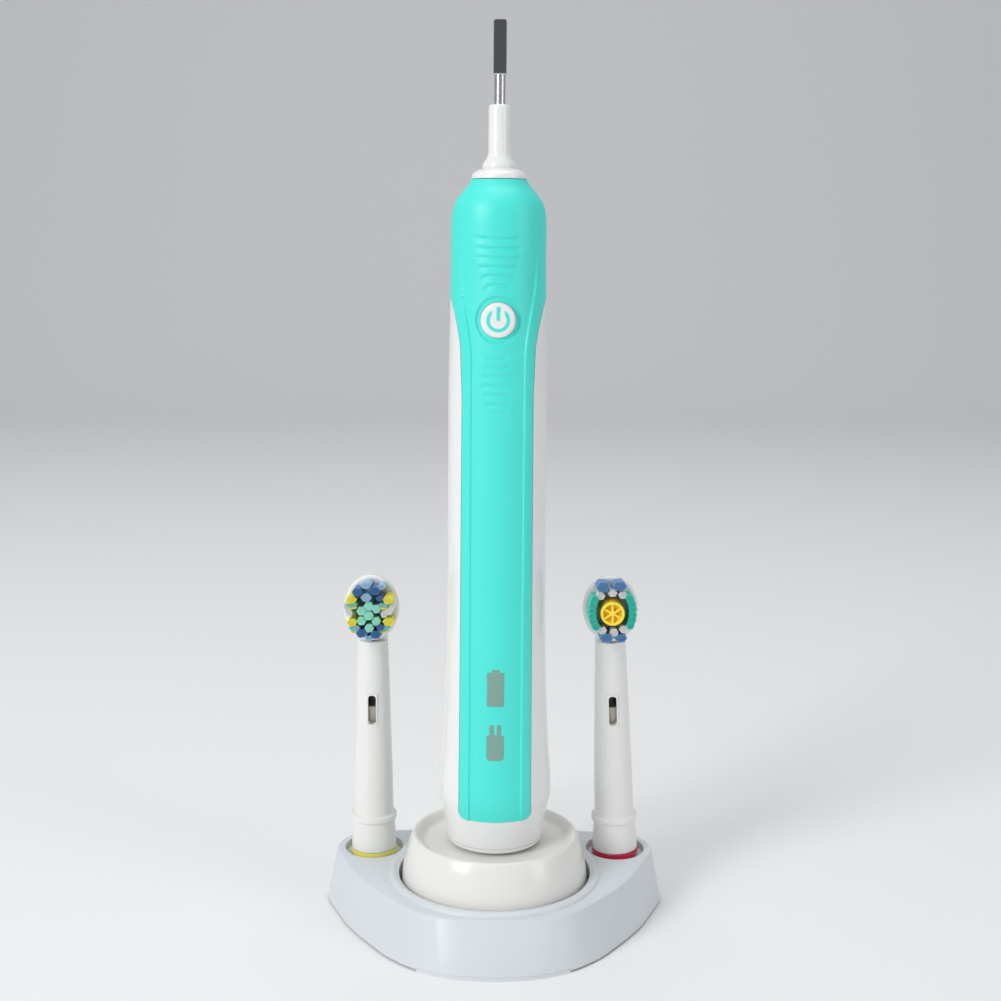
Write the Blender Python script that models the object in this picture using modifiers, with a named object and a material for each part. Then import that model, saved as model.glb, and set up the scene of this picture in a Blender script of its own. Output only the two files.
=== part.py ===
"""Electric toothbrush standing on its charger, in a stand that also holds two spare brush heads.

Blender 4.5, metres, +Z up, +Y away from the front. The origin is the centre of the
footprint on the table. Lengths below are in millimetres and become metres when built.
"""

import math

import bmesh
import bpy

MM = 0.001
GAP = 0.3              # clearance between pieces that touch on the real object

# Stand: hull of circles, each (x, y, radius) from the charger's axis
EAR_X = 32.7
EAR_Y = 14.0
STAND_FOOTPRINT = ((-EAR_X, EAR_Y, 12.7), (EAR_X, EAR_Y, 12.7), (0.0, 11.75, 17.1),
                   (-20.8, 4.4, 20.0), (20.8, 4.4, 20.0), (-15.7, -0.3, 22.0), (15.7, -0.3, 22.0),
                   (-7.3, -5.4, 26.0), (7.3, -5.4, 26.0), (-2.8, -4.2, 30.0), (2.8, -4.2, 30.0),
                   (0.0, -3.5, 31.0))
STAND_DECK = ((-EAR_X, EAR_Y, 10.1), (EAR_X, EAR_Y, 10.1), (0.0, 11.75, 16.0),
              (-20.8, 4.6, 17.5), (20.8, 4.6, 17.5), (-15.7, 0.2, 19.4), (15.7, 0.2, 19.4),
              (-7.3, -4.6, 22.9), (7.3, -4.6, 22.9), (-6.5, -7.5, 21.4), (6.5, -7.5, 21.4),
              (0.0, -3.2, 26.1))
STAND_BOTTOM = 0.6
STAND_TOP = 13.2         # at the front of the deck
DECK_FRONT = -29.3
DECK_SLOPE = 0.03         # the deck rises towards the back
STAND_WALL = 2.0
STAND_POINTS = 56
RING_HOLE_R = 25.1
RING_WALL_R = 27.8
LIP_R = 28.2
LIP_TOP = 14.6
SEAT_R = 7.7
SEAT_Z = 12.75
PEG_R = 2.9
PEG_TOP = 26.0
FOOT_TOP = 1.0
SIDE_FOOT_R = 5.0
FRONT_FOOT_X = 19.0
FRONT_FOOT_INSET = 0.1
NOTCH_X = 4.0
NOTCH_TOP = 8.0

# Charger
CHARGER_R = 24.5
DISH_Z = 22.4
POST_R = 4.6
POST_TOP = 38.2
GROMMET_Z = 6.0

# Handle: outside radius against height, top to bottom
HANDLE = ((191.6, 6.85), (190.1, 7.65), (188.0, 9.5), (185.6, 10.95), (182.0, 11.6),
          (172.0, 11.65), (158.0, 11.95), (138.0, 12.3), (113.0, 12.4), (87.0, 12.5),
          (71.0, 12.83), (60.0, 13.25), (49.5, 13.75), (42.0, 14.35), (36.5, 14.55),
          (34.6, 14.2), (32.0, 13.6), (29.4, 13.05), (26.6, 12.65), (24.6, 12.3))
CASING_BOTTOM = HANDLE[-1][0]
HANDLE_BASE = 23.0
GRIP_THICKNESS = 0.9
GRIP_BOTTOM = 32.1
GRIP_CORNER = 1.8
GRIP_LOW_HALF = 9.2       # half of its width at the bottom
GRIP_HALF = 8.75          # and where it begins to flare
BUTTON_Z = 158.3
BUTTON_R = 4.27
BATTERY_LENS_Z = (62.5, 71.9)
CHARGE_LENS_Z = (48.6, 57.7)
LENS_HALF = 2.1
SHAFT_R = 1.35
SHAFT_BOTTOM = 153.6
SHAFT_TIP = 229.0
SHAFT_FLAT_Z = 216.5
TIP_R = 1.58
BOARD_FRONT = -7.6
BATTERY_Y = 1.0

# Gear train: motor pinion on the handle's axis, crank gear behind it
MODULE = 0.36
PINION_TEETH = 10
CRANK_TEETH = 16
CRANK_Y = MODULE * (PINION_TEETH + CRANK_TEETH) / 2
SHAFT_SWING = math.radians(25)
CRANK_THROW = CRANK_Y * math.sin(SHAFT_SWING)

# Brush heads: heights above the head's bottom edge, depths towards the bristle tips
HEAD_BOTTOM = {"left": 13.1, "right": 13.3}
HEAD_LEAN = {"left": 0.0, "right": math.radians(-2.3)}     # it stands loosely on its peg
HEAD_PIVOT = 68.9
HEAD_OVAL = 1.22
ROD_PIN = HEAD_PIVOT - 3.2
WINDOW = (37.2, 45.2)
ID_RING_TOP = 1.1
SLEEVE_EDGE = ID_RING_TOP + GAP

WHITE = (0.86, 0.86, 0.84)
TEAL = (0.09, 0.70, 0.62)
STEEL = (0.62, 0.62, 0.64)
COPPER = (0.72, 0.33, 0.15)
BLACK = (0.04, 0.04, 0.045)
PALE_RUBBER = (0.66, 0.69, 0.72)
GREEN = (0.02, 0.20, 0.08)

FOOTPRINT_FRONT = min(y - r for x, y, r in STAND_FOOTPRINT)
FOOTPRINT_BACK = max(y + r for x, y, r in STAND_FOOTPRINT)
AXIS_Y = -(FOOTPRINT_FRONT + FOOTPRINT_BACK) / 2

for old in list(bpy.data.objects):
    bpy.data.objects.remove(old, do_unlink=True)

model = bpy.data.collections.new("electric_toothbrush_on_charger")
guides = bpy.data.collections.new("cutters")
for group in (model, guides):
    bpy.context.scene.collection.children.link(group)


def frame(name, x, y, z, lean=0.0, parent=None):
    """An empty that carries the pieces of one body, leaning to +X by an angle."""
    empty = bpy.data.objects.new(name, None)
    empty.parent = parent
    empty.location = (x * MM, y * MM, z * MM)
    empty.rotation_euler = (0.0, lean, 0.0)
    model.objects.link(empty)
    return empty


def place(name, mesh, parent, at, turn, group=None):
    """Link a mesh object under its parent empty."""
    piece = bpy.data.objects.new(name, mesh)
    piece.parent = parent
    piece.location = [value * MM for value in at]
    piece.rotation_euler = turn
    (group or model).objects.link(piece)
    return piece


def finish(piece, colour, roughness=0.4, metallic=0.0):
    """Give a piece a material of its own."""
    material = bpy.data.materials.new(piece.name + "_finish")
    material.use_nodes = True
    shader = material.node_tree.nodes["Principled BSDF"]
    shader.inputs["Base Color"].default_value = (*colour, 1.0)
    shader.inputs["Roughness"].default_value = roughness
    shader.inputs["Metallic"].default_value = metallic
    piece.data.materials.append(material)
    return piece


def guide(piece):
    """Turn a piece into a hidden cutter."""
    for group in list(piece.users_collection):
        group.objects.unlink(piece)
    guides.objects.link(piece)
    piece.hide_render = True
    piece.display_type = 'WIRE'
    return piece


def boolean(piece, other, operation):
    modifier = piece.modifiers.new(operation.lower(), 'BOOLEAN')
    modifier.operation = operation
    modifier.object = guide(other)
    return piece


def cut(piece, other):
    return boolean(piece, other, 'DIFFERENCE')


def join(piece, other):
    return boolean(piece, other, 'UNION')


def keep(piece, other):
    return boolean(piece, other, 'INTERSECT')


TOWARDS_FRONT = (math.radians(90), 0.0, 0.0)     # local +Z points to -Y, local +Y points up
TOWARDS_BACK = (math.radians(-90), 0.0, 0.0)     # local +Z points to +Y


def lathe(name, profile, parent, at=(0, 0, 0), steps=32, turn=(0, 0, 0)):
    """Turn a profile of (radius, height). It is closed unless both its ends are on the axis."""
    mesh = bpy.data.meshes.new(name)
    points = [(r * MM, 0.0, z * MM) for r, z in profile]
    edges = [(i, i + 1) for i in range(len(points) - 1)]
    if profile[0][0] > 0:
        edges.append((len(points) - 1, 0))
    mesh.from_pydata(points, edges, [])
    piece = place(name, mesh, parent, at, turn)
    screw = piece.modifiers.new("screw", 'SCREW')
    screw.angle = math.radians(360)
    screw.steps = steps
    screw.render_steps = steps
    screw.use_merge_vertices = True
    screw.merge_threshold = 0.00001
    screw.use_smooth_shade = True
    return piece


def rod(name, radius, low, high, parent, at=(0, 0, 0), steps=16, turn=(0, 0, 0)):
    """A plain round bar."""
    profile = [(0, high), (radius, high), (radius, low), (0, low)]
    return lathe(name, profile, parent, at, steps, turn)


def ring(name, inner, outer, low, high, parent, at=(0, 0, 0), steps=24, turn=(0, 0, 0)):
    """A plain round tube."""
    profile = [(outer, high), (outer, low), (inner, low), (inner, high)]
    return lathe(name, profile, parent, at, steps, turn)


def box(name, low, high, parent):
    """A box between two corners."""
    mesh = bpy.data.meshes.new(name)
    shape = bmesh.new()
    bmesh.ops.create_cube(shape, size=1.0)
    size = [(b - a) * MM for a, b in zip(low, high)]
    bmesh.ops.scale(shape, vec=size, verts=shape.verts)
    shape.to_mesh(mesh)
    shape.free()
    centre = [(a + b) / 2 for a, b in zip(low, high)]
    return place(name, mesh, parent, centre, (0, 0, 0))


def plate(name, outlines, low, high, parent, at=(0, 0, 0), turn=(0, 0, 0)):
    """A flat outline, with any holes after it, given a thickness between two heights."""
    curve = bpy.data.curves.new(name, 'CURVE')
    curve.dimensions = '2D'
    curve.fill_mode = 'BOTH'
    curve.extrude = (high - low) / 2 * MM
    for outline in outlines:
        spline = curve.splines.new('POLY')
        spline.points.add(len(outline) - 1)
        for point, (x, y) in zip(spline.points, outline):
            point.co = (x * MM, y * MM, (low + high) / 2 * MM, 1.0)
        spline.use_cyclic_u = True
    source = bpy.data.objects.new(name + "_outline", curve)
    guides.objects.link(source)
    depsgraph = bpy.context.evaluated_depsgraph_get()
    mesh = bpy.data.meshes.new_from_object(source.evaluated_get(depsgraph))
    bpy.data.objects.remove(source, do_unlink=True)
    shape = bmesh.new()
    shape.from_mesh(mesh)
    lowest = min(vertex.co.z for vertex in shape.verts)
    lift = low * MM - lowest
    for vertex in shape.verts:
        vertex.co.z += lift
    bmesh.ops.remove_doubles(shape, verts=shape.verts, dist=0.000001)
    bmesh.ops.recalc_face_normals(shape, faces=shape.faces)
    shape.to_mesh(mesh)
    shape.free()
    return place(name, mesh, parent, at, turn)


def circle(x, y, radius, steps):
    step = 2 * math.pi / steps
    return [(x + radius * math.cos(step * i), y + radius * math.sin(step * i))
            for i in range(steps)]


def rounded_rectangle(left, right, bottom, top, corner, steps=3):
    """Outline of a rectangle with round corners, counter-clockwise."""
    centres = ((right - corner, top - corner), (left + corner, top - corner),
               (left + corner, bottom + corner), (right - corner, bottom + corner))
    points = []
    for quarter, (x, y) in enumerate(centres):
        for i in range(steps + 1):
            angle = math.pi / 2 * (quarter + i / steps)
            points.append((x + corner * math.cos(angle), y + corner * math.sin(angle)))
    return points


# ---------------------------------------------------------------- stand


def hull(circles, inset):
    """Outline round a set of circles, one point for each direction."""
    points = []
    for i in range(STAND_POINTS):
        angle = 2 * math.pi * i / STAND_POINTS
        nx = math.cos(angle)
        ny = math.sin(angle)
        x, y, r = max(circles, key=lambda c: c[0] * nx + c[1] * ny + c[2])
        points.append((x + (r - inset) * nx, y + (r - inset) * ny))
    return points


def between(share):
    """The stand's circles part of the way from its footprint to its deck."""
    return [tuple(a + (b - a) * share for a, b in zip(low, high))
            for low, high in zip(STAND_FOOTPRINT, STAND_DECK)]


def loft(name, levels, parent):
    """A closed solid through stacked outlines. Levels are (height, share, inset), and slope with
    the deck by their share."""
    mesh = bpy.data.meshes.new(name)
    shape = bmesh.new()
    rings = []
    for height, share, inset in levels:
        rings.append([])
        for x, y in hull(between(share), inset):
            z = height + share * DECK_SLOPE * (y - DECK_FRONT)
            rings[-1].append(shape.verts.new((x * MM, y * MM, z * MM)))
    for lower, upper in zip(rings, rings[1:]):
        for i in range(STAND_POINTS):
            j = (i + 1) % STAND_POINTS
            shape.faces.new((lower[i], lower[j], upper[j], upper[i]))
    shape.faces.new(list(reversed(rings[0])))
    shape.faces.new(rings[-1])
    bmesh.ops.remove_doubles(shape, verts=shape.verts, dist=0.000001)
    shape.to_mesh(mesh)
    shape.free()
    return place(name, mesh, parent, (0, 0, 0), (0, 0, 0))


def make_stand(axis):
    shell = loft("stand_shell", ((STAND_BOTTOM, 0.0, 0.0), (5.0, 0.35, 0.0), (9.5, 0.71, 0.0),
                                 (12.4, 0.95, 0.0), (12.95, 1.0, 0.25), (STAND_TOP, 1.0, 0.75)), axis)
    hollow = loft("stand_hollow", ((-1.0, 0.0, STAND_WALL), (STAND_TOP - STAND_WALL, 0.9, STAND_WALL)),
                  axis)
    cut(hollow, rod("ring_wall_keep", RING_WALL_R, -5, 30, axis, steps=48))
    cut(hollow, box("front_block_keep", (-21, -40, -5), (21, -20, 30), axis))
    for x in (-EAR_X, EAR_X):
        cut(hollow, rod("column_keep", SIDE_FOOT_R + 1.5, -5, 30, axis, (x, EAR_Y, 0), 20))
    cut(shell, hollow)
    for x in (-EAR_X, EAR_X):
        cut(shell, rod("seat_cutter", SEAT_R, SEAT_Z, 20, axis, (x, EAR_Y, 0), 32))
        cut(shell, rod("foot_recess", SIDE_FOOT_R + GAP, -2, FOOT_TOP + GAP, axis, (x, EAR_Y, 0), 20))
        peg = [(0, PEG_TOP), (PEG_R - 1.2, PEG_TOP), (PEG_R, PEG_TOP - 1.4), (PEG_R, 11), (0, 11)]
        join(shell, lathe("peg", peg, axis, (x, EAR_Y, 0), 16))
    lip = [(26.9, LIP_TOP), (27.7, 14.3), (LIP_R, 13.6), (LIP_R, 11.8), (RING_HOLE_R - 0.5, 11.8),
           (RING_HOLE_R - 0.5, 13.5), (25.5, 14.25), (26.1, LIP_TOP)]
    join(shell, lathe("lip", lip, axis, steps=48))
    cut(shell, rod("ring_hole", RING_HOLE_R, -5, 30, axis, steps=48))
    cut(shell, box("notch", (-NOTCH_X, 20, -5), (NOTCH_X, 40, NOTCH_TOP), axis))
    cut(shell, front_pad("front_foot_step", GAP, (-2, FOOT_TOP + GAP), axis))
    finish(shell, WHITE, 0.35)

    finish(front_pad("stand_foot_front", 0.0, (0, FOOT_TOP), axis), PALE_RUBBER, 0.7)
    for side, x in (("left", -EAR_X), ("right", EAR_X)):
        foot = rod("stand_foot_" + side, SIDE_FOOT_R, 0, FOOT_TOP, axis, (x, EAR_Y, 0), 20)
        finish(foot, PALE_RUBBER, 0.7)


def front_pad(name, grow, heights, axis):
    """The strip under the front edge of the stand. Grown, it cuts the step that the strip sits in."""
    low, high = heights
    overhang = -1.0 if grow else FRONT_FOOT_INSET
    pad = loft(name, ((low, 0.0, overhang), (high, 0.0, overhang)), axis)
    reach = FRONT_FOOT_X + grow
    keep(pad, box(name + "_span", (-reach, -45, low - 1), (reach, -15, high + 1), axis))
    return cut(pad, rod(name + "_inside", 28.5 - grow, low - 2, high + 2, axis, steps=48))


# ---------------------------------------------------------------- charger


def make_charger(axis):
    housing = lathe("charger_housing", [
        (0, POST_TOP), (POST_R - 1.1, POST_TOP), (POST_R - 0.2, POST_TOP - 0.8),
        (POST_R, POST_TOP - 1.8), (POST_R + 0.1, DISH_Z + 0.8), (POST_R + 1.0, DISH_Z),
        (18.9, DISH_Z), (20.0, 23.9), (20.4, 24.6), (20.9, 24.8), (21.5, 24.4),
        (22.4, 22.3), (23.2, 19.4), (23.9, 16.0), (24.35, 12.0), (CHARGER_R, 6.0),
        (CHARGER_R, 0.7), (23.9, 0), (22.9, 0), (22.9, 12.0), (22.3, 17.0),
        (20.6, 20.8), (6.2, 20.8), (3.2, 21.7), (3.2, 36.8), (0, 36.8)], axis, steps=36)
    cut(housing, rod("grommet_hole", 2.7, 10, 30, axis, (0, 0, GROMMET_Z), 16, TOWARDS_BACK))
    cut(housing, rod("grommet_seat", 3.5, 23.9, 30, axis, (0, 0, GROMMET_Z), 16, TOWARDS_BACK))
    finish(housing, WHITE, 0.25)

    finish(rod("charger_base_plate", 22.6, 0.4, 2.0, axis, steps=40), WHITE, 0.5)
    finish(rod("charger_core", 1.7, 11.0, 36.3, axis, steps=12), (0.09, 0.08, 0.08), 0.6)
    finish(ring("charger_coil", 2.0, 2.9, 15.0, 35.5, axis, steps=16), COPPER, 0.35, 0.9)

    board = ring("charger_board", 2.6, 20.0, 7.0, 8.4, axis, steps=24)
    join(board, box("driver_chip", (6, -4, 8.2), (13, 4, 10.0), axis))
    join(board, rod("board_capacitor", 3.0, 8.2, 16.0, axis, (-11, 3, 0), 16))
    finish(board, GREEN, 0.5)

    grommet = [(3.2, 24.7), (3.2, 24.2), (2.4, 24.2), (2.4, 22.5), (3.2, 22.5), (3.2, 21.5),
               (1.3, 21.5), (1.3, 24.7)]
    piece = lathe("cord_grommet", grommet, axis, (0, 0, GROMMET_Z), 16, TOWARDS_BACK)
    finish(piece, BLACK, 0.7)


# ---------------------------------------------------------------- handle


def grip_outline(grow):
    """The soft grip from the front: a strip that flares and wraps the whole shoulder."""
    half = GRIP_HALF + grow
    low_half = GRIP_LOW_HALF + grow
    side = [(half, 140.0), (half, 148.0), (half + 0.45, 152.0), (half + 1.0, 155.5), (half + 2.1, 160.4),
            (half + 2.9, 163.0 - grow), (18.0, 166.0 - grow), (18.0, 200.0)]
    corner = GRIP_CORNER + grow
    bottom = GRIP_BOTTOM - grow
    points = []
    for i in range(4):
        angle = math.radians(30 * i)
        points.append((low_half - corner + corner * math.sin(angle),
                       bottom + corner - corner * math.cos(angle)))
    right = points + side
    return right + [(-x, z) for x, z in reversed(right)]


def outward(extra):
    return [(r + extra, z) for z, r in HANDLE]


def lens_outlines(low, high, nub_half, grow):
    """Two overlapping rectangles: the body of the sign and the narrower piece on top of it."""
    body_top = high - (high - low) * 0.11
    if nub_half > 1:
        body_top = high - (high - low) * 0.27
    body = rounded_rectangle(-LENS_HALF - grow, LENS_HALF + grow, low - grow, body_top + grow, 0.6)
    nub = [(-nub_half - grow, body_top - 1), (nub_half + grow, body_top - 1),
           (nub_half + grow, high + grow), (-nub_half - grow, high + grow)]
    return body, nub


def lens_block(name, signs, grow, depth, axis):
    low, high, nub_half = signs
    body, nub = lens_outlines(low, high, nub_half, grow)
    piece = plate(name, [body], depth[0], depth[1], axis, turn=TOWARDS_FRONT)
    step = 0.01
    top = plate(name + "_nub", [nub], depth[0] - step, depth[1] + step, axis, turn=TOWARDS_FRONT)
    return join(piece, top)


LENSES = (("battery_lens", (*BATTERY_LENS_Z, 0.9)), ("charge_lens", (*CHARGE_LENS_Z, 1.5)))


def make_casing(axis):
    inside = [(11.0, CASING_BOTTOM), (11.0, 55.0), (9.4, 70.0), (9.4, 180.0), (8.9, 183.0),
              (7.9, 185.6), (6.6, 187.4), (4.45, 188.6), (4.45, 191.6)]
    casing = lathe("handle_casing", outward(0) + inside, axis, steps=32)
    inset = outward(-GRIP_THICKNESS - GAP)
    pocket = lathe("grip_pocket", [(20, 196), (20, 20), (inset[-1][0], 20)]
                   + list(reversed(inset)) + [(inset[0][0], 196)], axis, steps=32)
    keep(pocket, plate("pocket_outline", [grip_outline(GAP)], -20, 20, axis, turn=TOWARDS_FRONT))
    cut(casing, pocket)
    cut(casing, rod("button_hole", BUTTON_R + GAP, 5, 20, axis, (0, 0, BUTTON_Z), 24, TOWARDS_FRONT))

    grip = lathe("grip_shell", outward(0) + list(reversed(outward(-GRIP_THICKNESS))), axis, steps=32)
    keep(grip, plate("grip_outline", [grip_outline(0)], -20, 20, axis, turn=TOWARDS_FRONT))
    cut(grip, rod("grip_button_hole", BUTTON_R + GAP, 5, 20, axis, (0, 0, BUTTON_Z), 24, TOWARDS_FRONT))

    for name, signs in LENSES:
        for piece in (casing, grip):
            cut(piece, lens_block(name + "_hole", signs, GAP, (5, 20), axis))
        lens = lens_block(name, signs, 0, (9.2, 15), axis)
        surface = [(0, 191.6)] + outward(0.05) + [(0, CASING_BOTTOM)]
        keep(lens, lathe(name + "_surface", surface, axis, steps=32))
        finish(lens, (0.22, 0.37, 0.32), 0.3)
    finish(casing, WHITE, 0.25)
    finish(grip, TEAL, 0.6)


def make_neck(axis):
    finish(lathe("top_collar", [(4.45, 194.1), (5.2, 193.9), (6.3, 193.2), (6.67, 192.6),
                                (6.8, 191.9), (4.45, 191.9)], axis, steps=32), WHITE, 0.3)
    finish(lathe("neck_sleeve", [
        (2.35, 209.3), (2.68, 208.9), (2.68, 197.6), (3.15, 196.7), (3.8, 195.7), (4.12, 195.0),
        (4.15, 194.4), (4.15, 186.5), (5.8, 186.5), (5.8, 184.5), (3.2, 184.5), (3.2, 196.0),
        (1.7, 196.6), (1.7, 209.3)], axis, steps=24), WHITE, 0.3)
    finish(ring("upper_bush", SHAFT_R + GAP, 2.9, 185.0, 190.0, axis, steps=16), (0.55, 0.42, 0.2), 0.4, 0.8)
    finish(lathe("shaft_seal", [(2.9, 194.6), (2.9, 190.6), (1.9, 190.6), (SHAFT_R + 0.2, 192.6),
                                (1.9, 194.6)], axis, steps=16), BLACK, 0.8)


def make_base(axis):
    finish(lathe("base_cap", [
        (0, 41.0), (6.2, 41.0), (6.2, 33.0), (10.7, 33.0), (10.7, 31.0), (9.5, 31.0), (9.5, 29.4),
        (10.7, 29.4), (10.7, 24.3), (12.25, 24.3), (12.1, 23.7), (11.7, 23.25), (11.0, HANDLE_BASE),
        (5.5, HANDLE_BASE), (5.2, 23.4), (5.2, 39.4), (0, 39.4)], axis, steps=28), WHITE, 0.3)
    seal = [(10.25 + 0.45 * math.cos(angle), 30.2 - 0.45 * math.sin(angle))
            for angle in (2 * math.pi * i / 6 for i in range(6))]
    finish(lathe("base_seal", seal, axis, steps=28), BLACK, 0.8)
    finish(lathe("coil_bobbin", [
        (10.2, 42.4), (10.2, 41.4), (7.2, 41.4), (7.2, 34.4), (10.2, 34.4), (10.2, 33.4),
        (6.5, 33.4), (6.5, 42.4)], axis, steps=24), (0.75, 0.74, 0.70), 0.5)
    finish(ring("pickup_coil", 7.5, 9.9, 34.7, 41.1, axis), COPPER, 0.35, 0.9)


def make_electrics(axis):
    chassis = lathe("chassis", [
        (9.1, 179), (9.1, 44.0), (1.5, 44.0), (1.5, 46.5), (8.25, 46.5), (8.25, 103),
        (1.5, 103), (1.5, 104.5), (8.25, 104.5), (8.25, 179)], axis, steps=28)
    cut(chassis, box("chassis_front", (-12, -12, 30), (12, -2, 200), axis))
    finish(chassis, (0.16, 0.17, 0.18), 0.5)

    cell = [(0, 100.3), (2.7, 100.3), (2.7, 99.2), (6.3, 99.2), (6.95, 98.6), (6.95, 50.7),
            (6.3, 50.0), (0, 50.0)]
    finish(lathe("battery_cell", cell, axis, (0, BATTERY_Y, 0), 24), (0.07, 0.22, 0.16), 0.35)
    top = [(0, 101.6), (5.0, 101.6), (5.0, 101.1), (2.0, 100.6), (0, 100.6)]
    finish(lathe("battery_contact_top", top, axis, (0, BATTERY_Y, 0), 16), STEEL, 0.3, 1.0)
    bottom = [(0, 49.6), (2.0, 49.6), (5.0, 48.4), (5.0, 47.9), (0, 47.9)]
    finish(lathe("battery_contact_bottom", bottom, axis, (0, BATTERY_Y, 0), 16), STEEL, 0.3, 1.0)

    back = BOARD_FRONT + 0.8
    board = box("main_board", (-5.2, BOARD_FRONT, 44.5), (5.2, back, 165), axis)
    for low, high, half in ((80, 87, 2.6), (94, 98, 1.8), (120, 128, 2.6), (138, 141, 1.5)):
        join(board, box("board_chip", (-half, BOARD_FRONT - 1.0, low),
                        (half, BOARD_FRONT + 0.2, high), axis))
    finish(board, GREEN, 0.5)
    for name, z in (("led_battery", sum(BATTERY_LENS_Z) / 2), ("led_charge", sum(CHARGE_LENS_Z) / 2)):
        led = box(name, (-0.8, BOARD_FRONT - 1.2, z - 0.8), (0.8, BOARD_FRONT - GAP, z + 0.8), axis)
        finish(led, (0.9, 0.9, 0.8), 0.2)
    switch = box("tact_switch", (-1.8, -9.0, BUTTON_Z - 1.8), (1.8, BOARD_FRONT - GAP, BUTTON_Z + 1.8),
                 axis)
    join(switch, rod("switch_plunger", 0.9, 8.5, 9.45, axis, (0, 0, BUTTON_Z), 12, TOWARDS_FRONT))
    finish(switch, (0.3, 0.3, 0.32), 0.4, 0.6)


def make_button(axis):
    """A slightly domed disc with a short stem that reaches for the switch."""
    profile = [(0, 12.3), (1.6, 12.26), (3.0, 12.12), (3.9, 11.9), (BUTTON_R, 11.5), (BUTTON_R, 10.7),
               (1.1, 10.7), (1.1, 10.1), (0, 10.1)]
    button = lathe("power_button", profile, axis, (0, 0, BUTTON_Z), 24, TOWARDS_FRONT)
    finish(button, WHITE, 0.3)


def gear_outline(teeth, first_tooth):
    """Involute teeth, slightly thinned for backlash."""
    pitch = MODULE * teeth / 2
    base = pitch * math.cos(math.radians(20))
    radii = (pitch - 1.2 * MODULE, pitch, pitch + 0.9 * MODULE)

    def involute(radius):
        pressure = math.acos(min(1.0, base / radius))
        return math.tan(pressure) - pressure

    half = [0.86 * math.pi / (2 * teeth) + involute(pitch) - involute(r) for r in radii]
    points = []
    for tooth in range(teeth):
        centre = first_tooth + 2 * math.pi * tooth / teeth
        rising = [(r, centre - h) for r, h in zip(radii, half)]
        falling = [(r, centre + h) for r, h in reversed(list(zip(radii, half)))]
        points += [(r * math.cos(a), r * math.sin(a)) for r, a in rising + falling]
    return points


def make_motor(axis):
    finish(lathe("motor_can", [(6.4, 146.0), (6.4, 112.0), (5.8, 112.0), (5.8, 145.0), (1.1, 145.0),
                               (1.1, 146.0)], axis, steps=24), STEEL, 0.3, 1.0)
    finish(ring("motor_magnet", 5.0, 5.5, 115.0, 142.0, axis, steps=20), (0.12, 0.12, 0.12), 0.6)
    finish(ring("motor_end_cap", 1.1, 6.4, 109.4, 111.7, axis, steps=24), BLACK, 0.5)
    finish(ring("motor_armature", 1.0, 4.5, 117.0, 140.0, axis, steps=20), COPPER, 0.4, 0.8)
    finish(rod("motor_shaft", 0.7, 110.0, 152.9, axis, steps=12), STEEL, 0.25, 1.0)
    half_tooth = math.pi / PINION_TEETH
    outline = gear_outline(PINION_TEETH, math.pi / 2 + half_tooth)
    pinion = plate("motor_pinion", [outline, circle(0, 0, 1.0, 12)], 148.6, 152.2, axis)
    finish(pinion, (0.72, 0.56, 0.25), 0.3, 1.0)


def make_crank(axis):
    """Frame of two plates, the fixed axle, and the gear that carries the crank pin."""
    at = (0, CRANK_Y, 0)
    holder = ring("gear_frame", 1.1, 7.9, 146.4, 147.6, axis, steps=28)
    cut(holder, rod("axle_hole", 1.0, 140, 150, axis, at, 12))
    upper = ring("upper_plate", 2.9, 7.9, 159.5, 161.5, axis, steps=28)
    join(holder, upper)
    for x in (-6.5, 6.5):
        join(holder, rod("frame_post", 0.9, 147.0, 160.0, axis, (x, -1.0, 0), 12))
    cut(holder, box("frame_front", (-12, -12, 140), (12, -6.4, 170), axis))
    finish(holder, STEEL, 0.35, 1.0)

    finish(rod("crank_axle", 0.7, 146.6, 152.2, axis, at, 12), STEEL, 0.25, 1.0)
    finish(ring("lower_bush", SHAFT_R + GAP, 2.6, 158.8, 162.2, axis, steps=16), (0.55, 0.42, 0.2), 0.4, 0.8)
    gear_axis = frame("crank_axis", 0, AXIS_Y + CRANK_Y, 0)
    outline = gear_outline(CRANK_TEETH, -math.pi / 2)
    gear = plate("crank_gear", [outline, circle(0, 0, 1.0, 12)], 149.0, 151.8, gear_axis)
    join(gear, rod("crank_pin", 0.4, 151.0, 154.4, gear_axis, (0, CRANK_THROW, 0), 12))
    finish(gear, (0.78, 0.76, 0.70), 0.45)


def make_drive_shaft(axis):
    shaft = lathe("drive_shaft", [(0, SHAFT_TIP), (TIP_R - 0.3, SHAFT_TIP), (TIP_R, SHAFT_TIP - 0.4),
                                  (TIP_R, SHAFT_FLAT_Z), (SHAFT_R, SHAFT_FLAT_Z - 0.2),
                                  (SHAFT_R, SHAFT_BOTTOM), (0, SHAFT_BOTTOM)], axis, steps=20)
    cut(shaft, box("shaft_flat", (-3, -4, SHAFT_FLAT_Z), (3, -0.85, SHAFT_TIP + 2), axis))
    finish(shaft, STEEL, 0.2, 1.0)

    hub = [(2.4 * math.cos(a), 2.4 * math.sin(a)) for a in
           (math.radians(145 + 250 * i / 8) for i in range(9))]
    tip = [(1.5 * math.cos(a), 6.2 + 1.5 * math.sin(a)) for a in
           (math.radians(180 * i / 4) for i in range(5))]
    slot = rounded_rectangle(-0.65, 0.65, 2.35, 7.15, 0.6)
    arm = plate("rocker_arm", [hub + tip, circle(0, 0, SHAFT_R + GAP, 16), slot], 154.8, 156.8, axis)
    finish(arm, STEEL, 0.3, 1.0)


# ---------------------------------------------------------------- brush heads


def oval(piece, stretch=HEAD_OVAL):
    """Stretch a piece that is turned about the bristle axis, so that it stands taller than wide."""
    piece.scale = (1.0, stretch, 1.0)
    return piece


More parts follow.
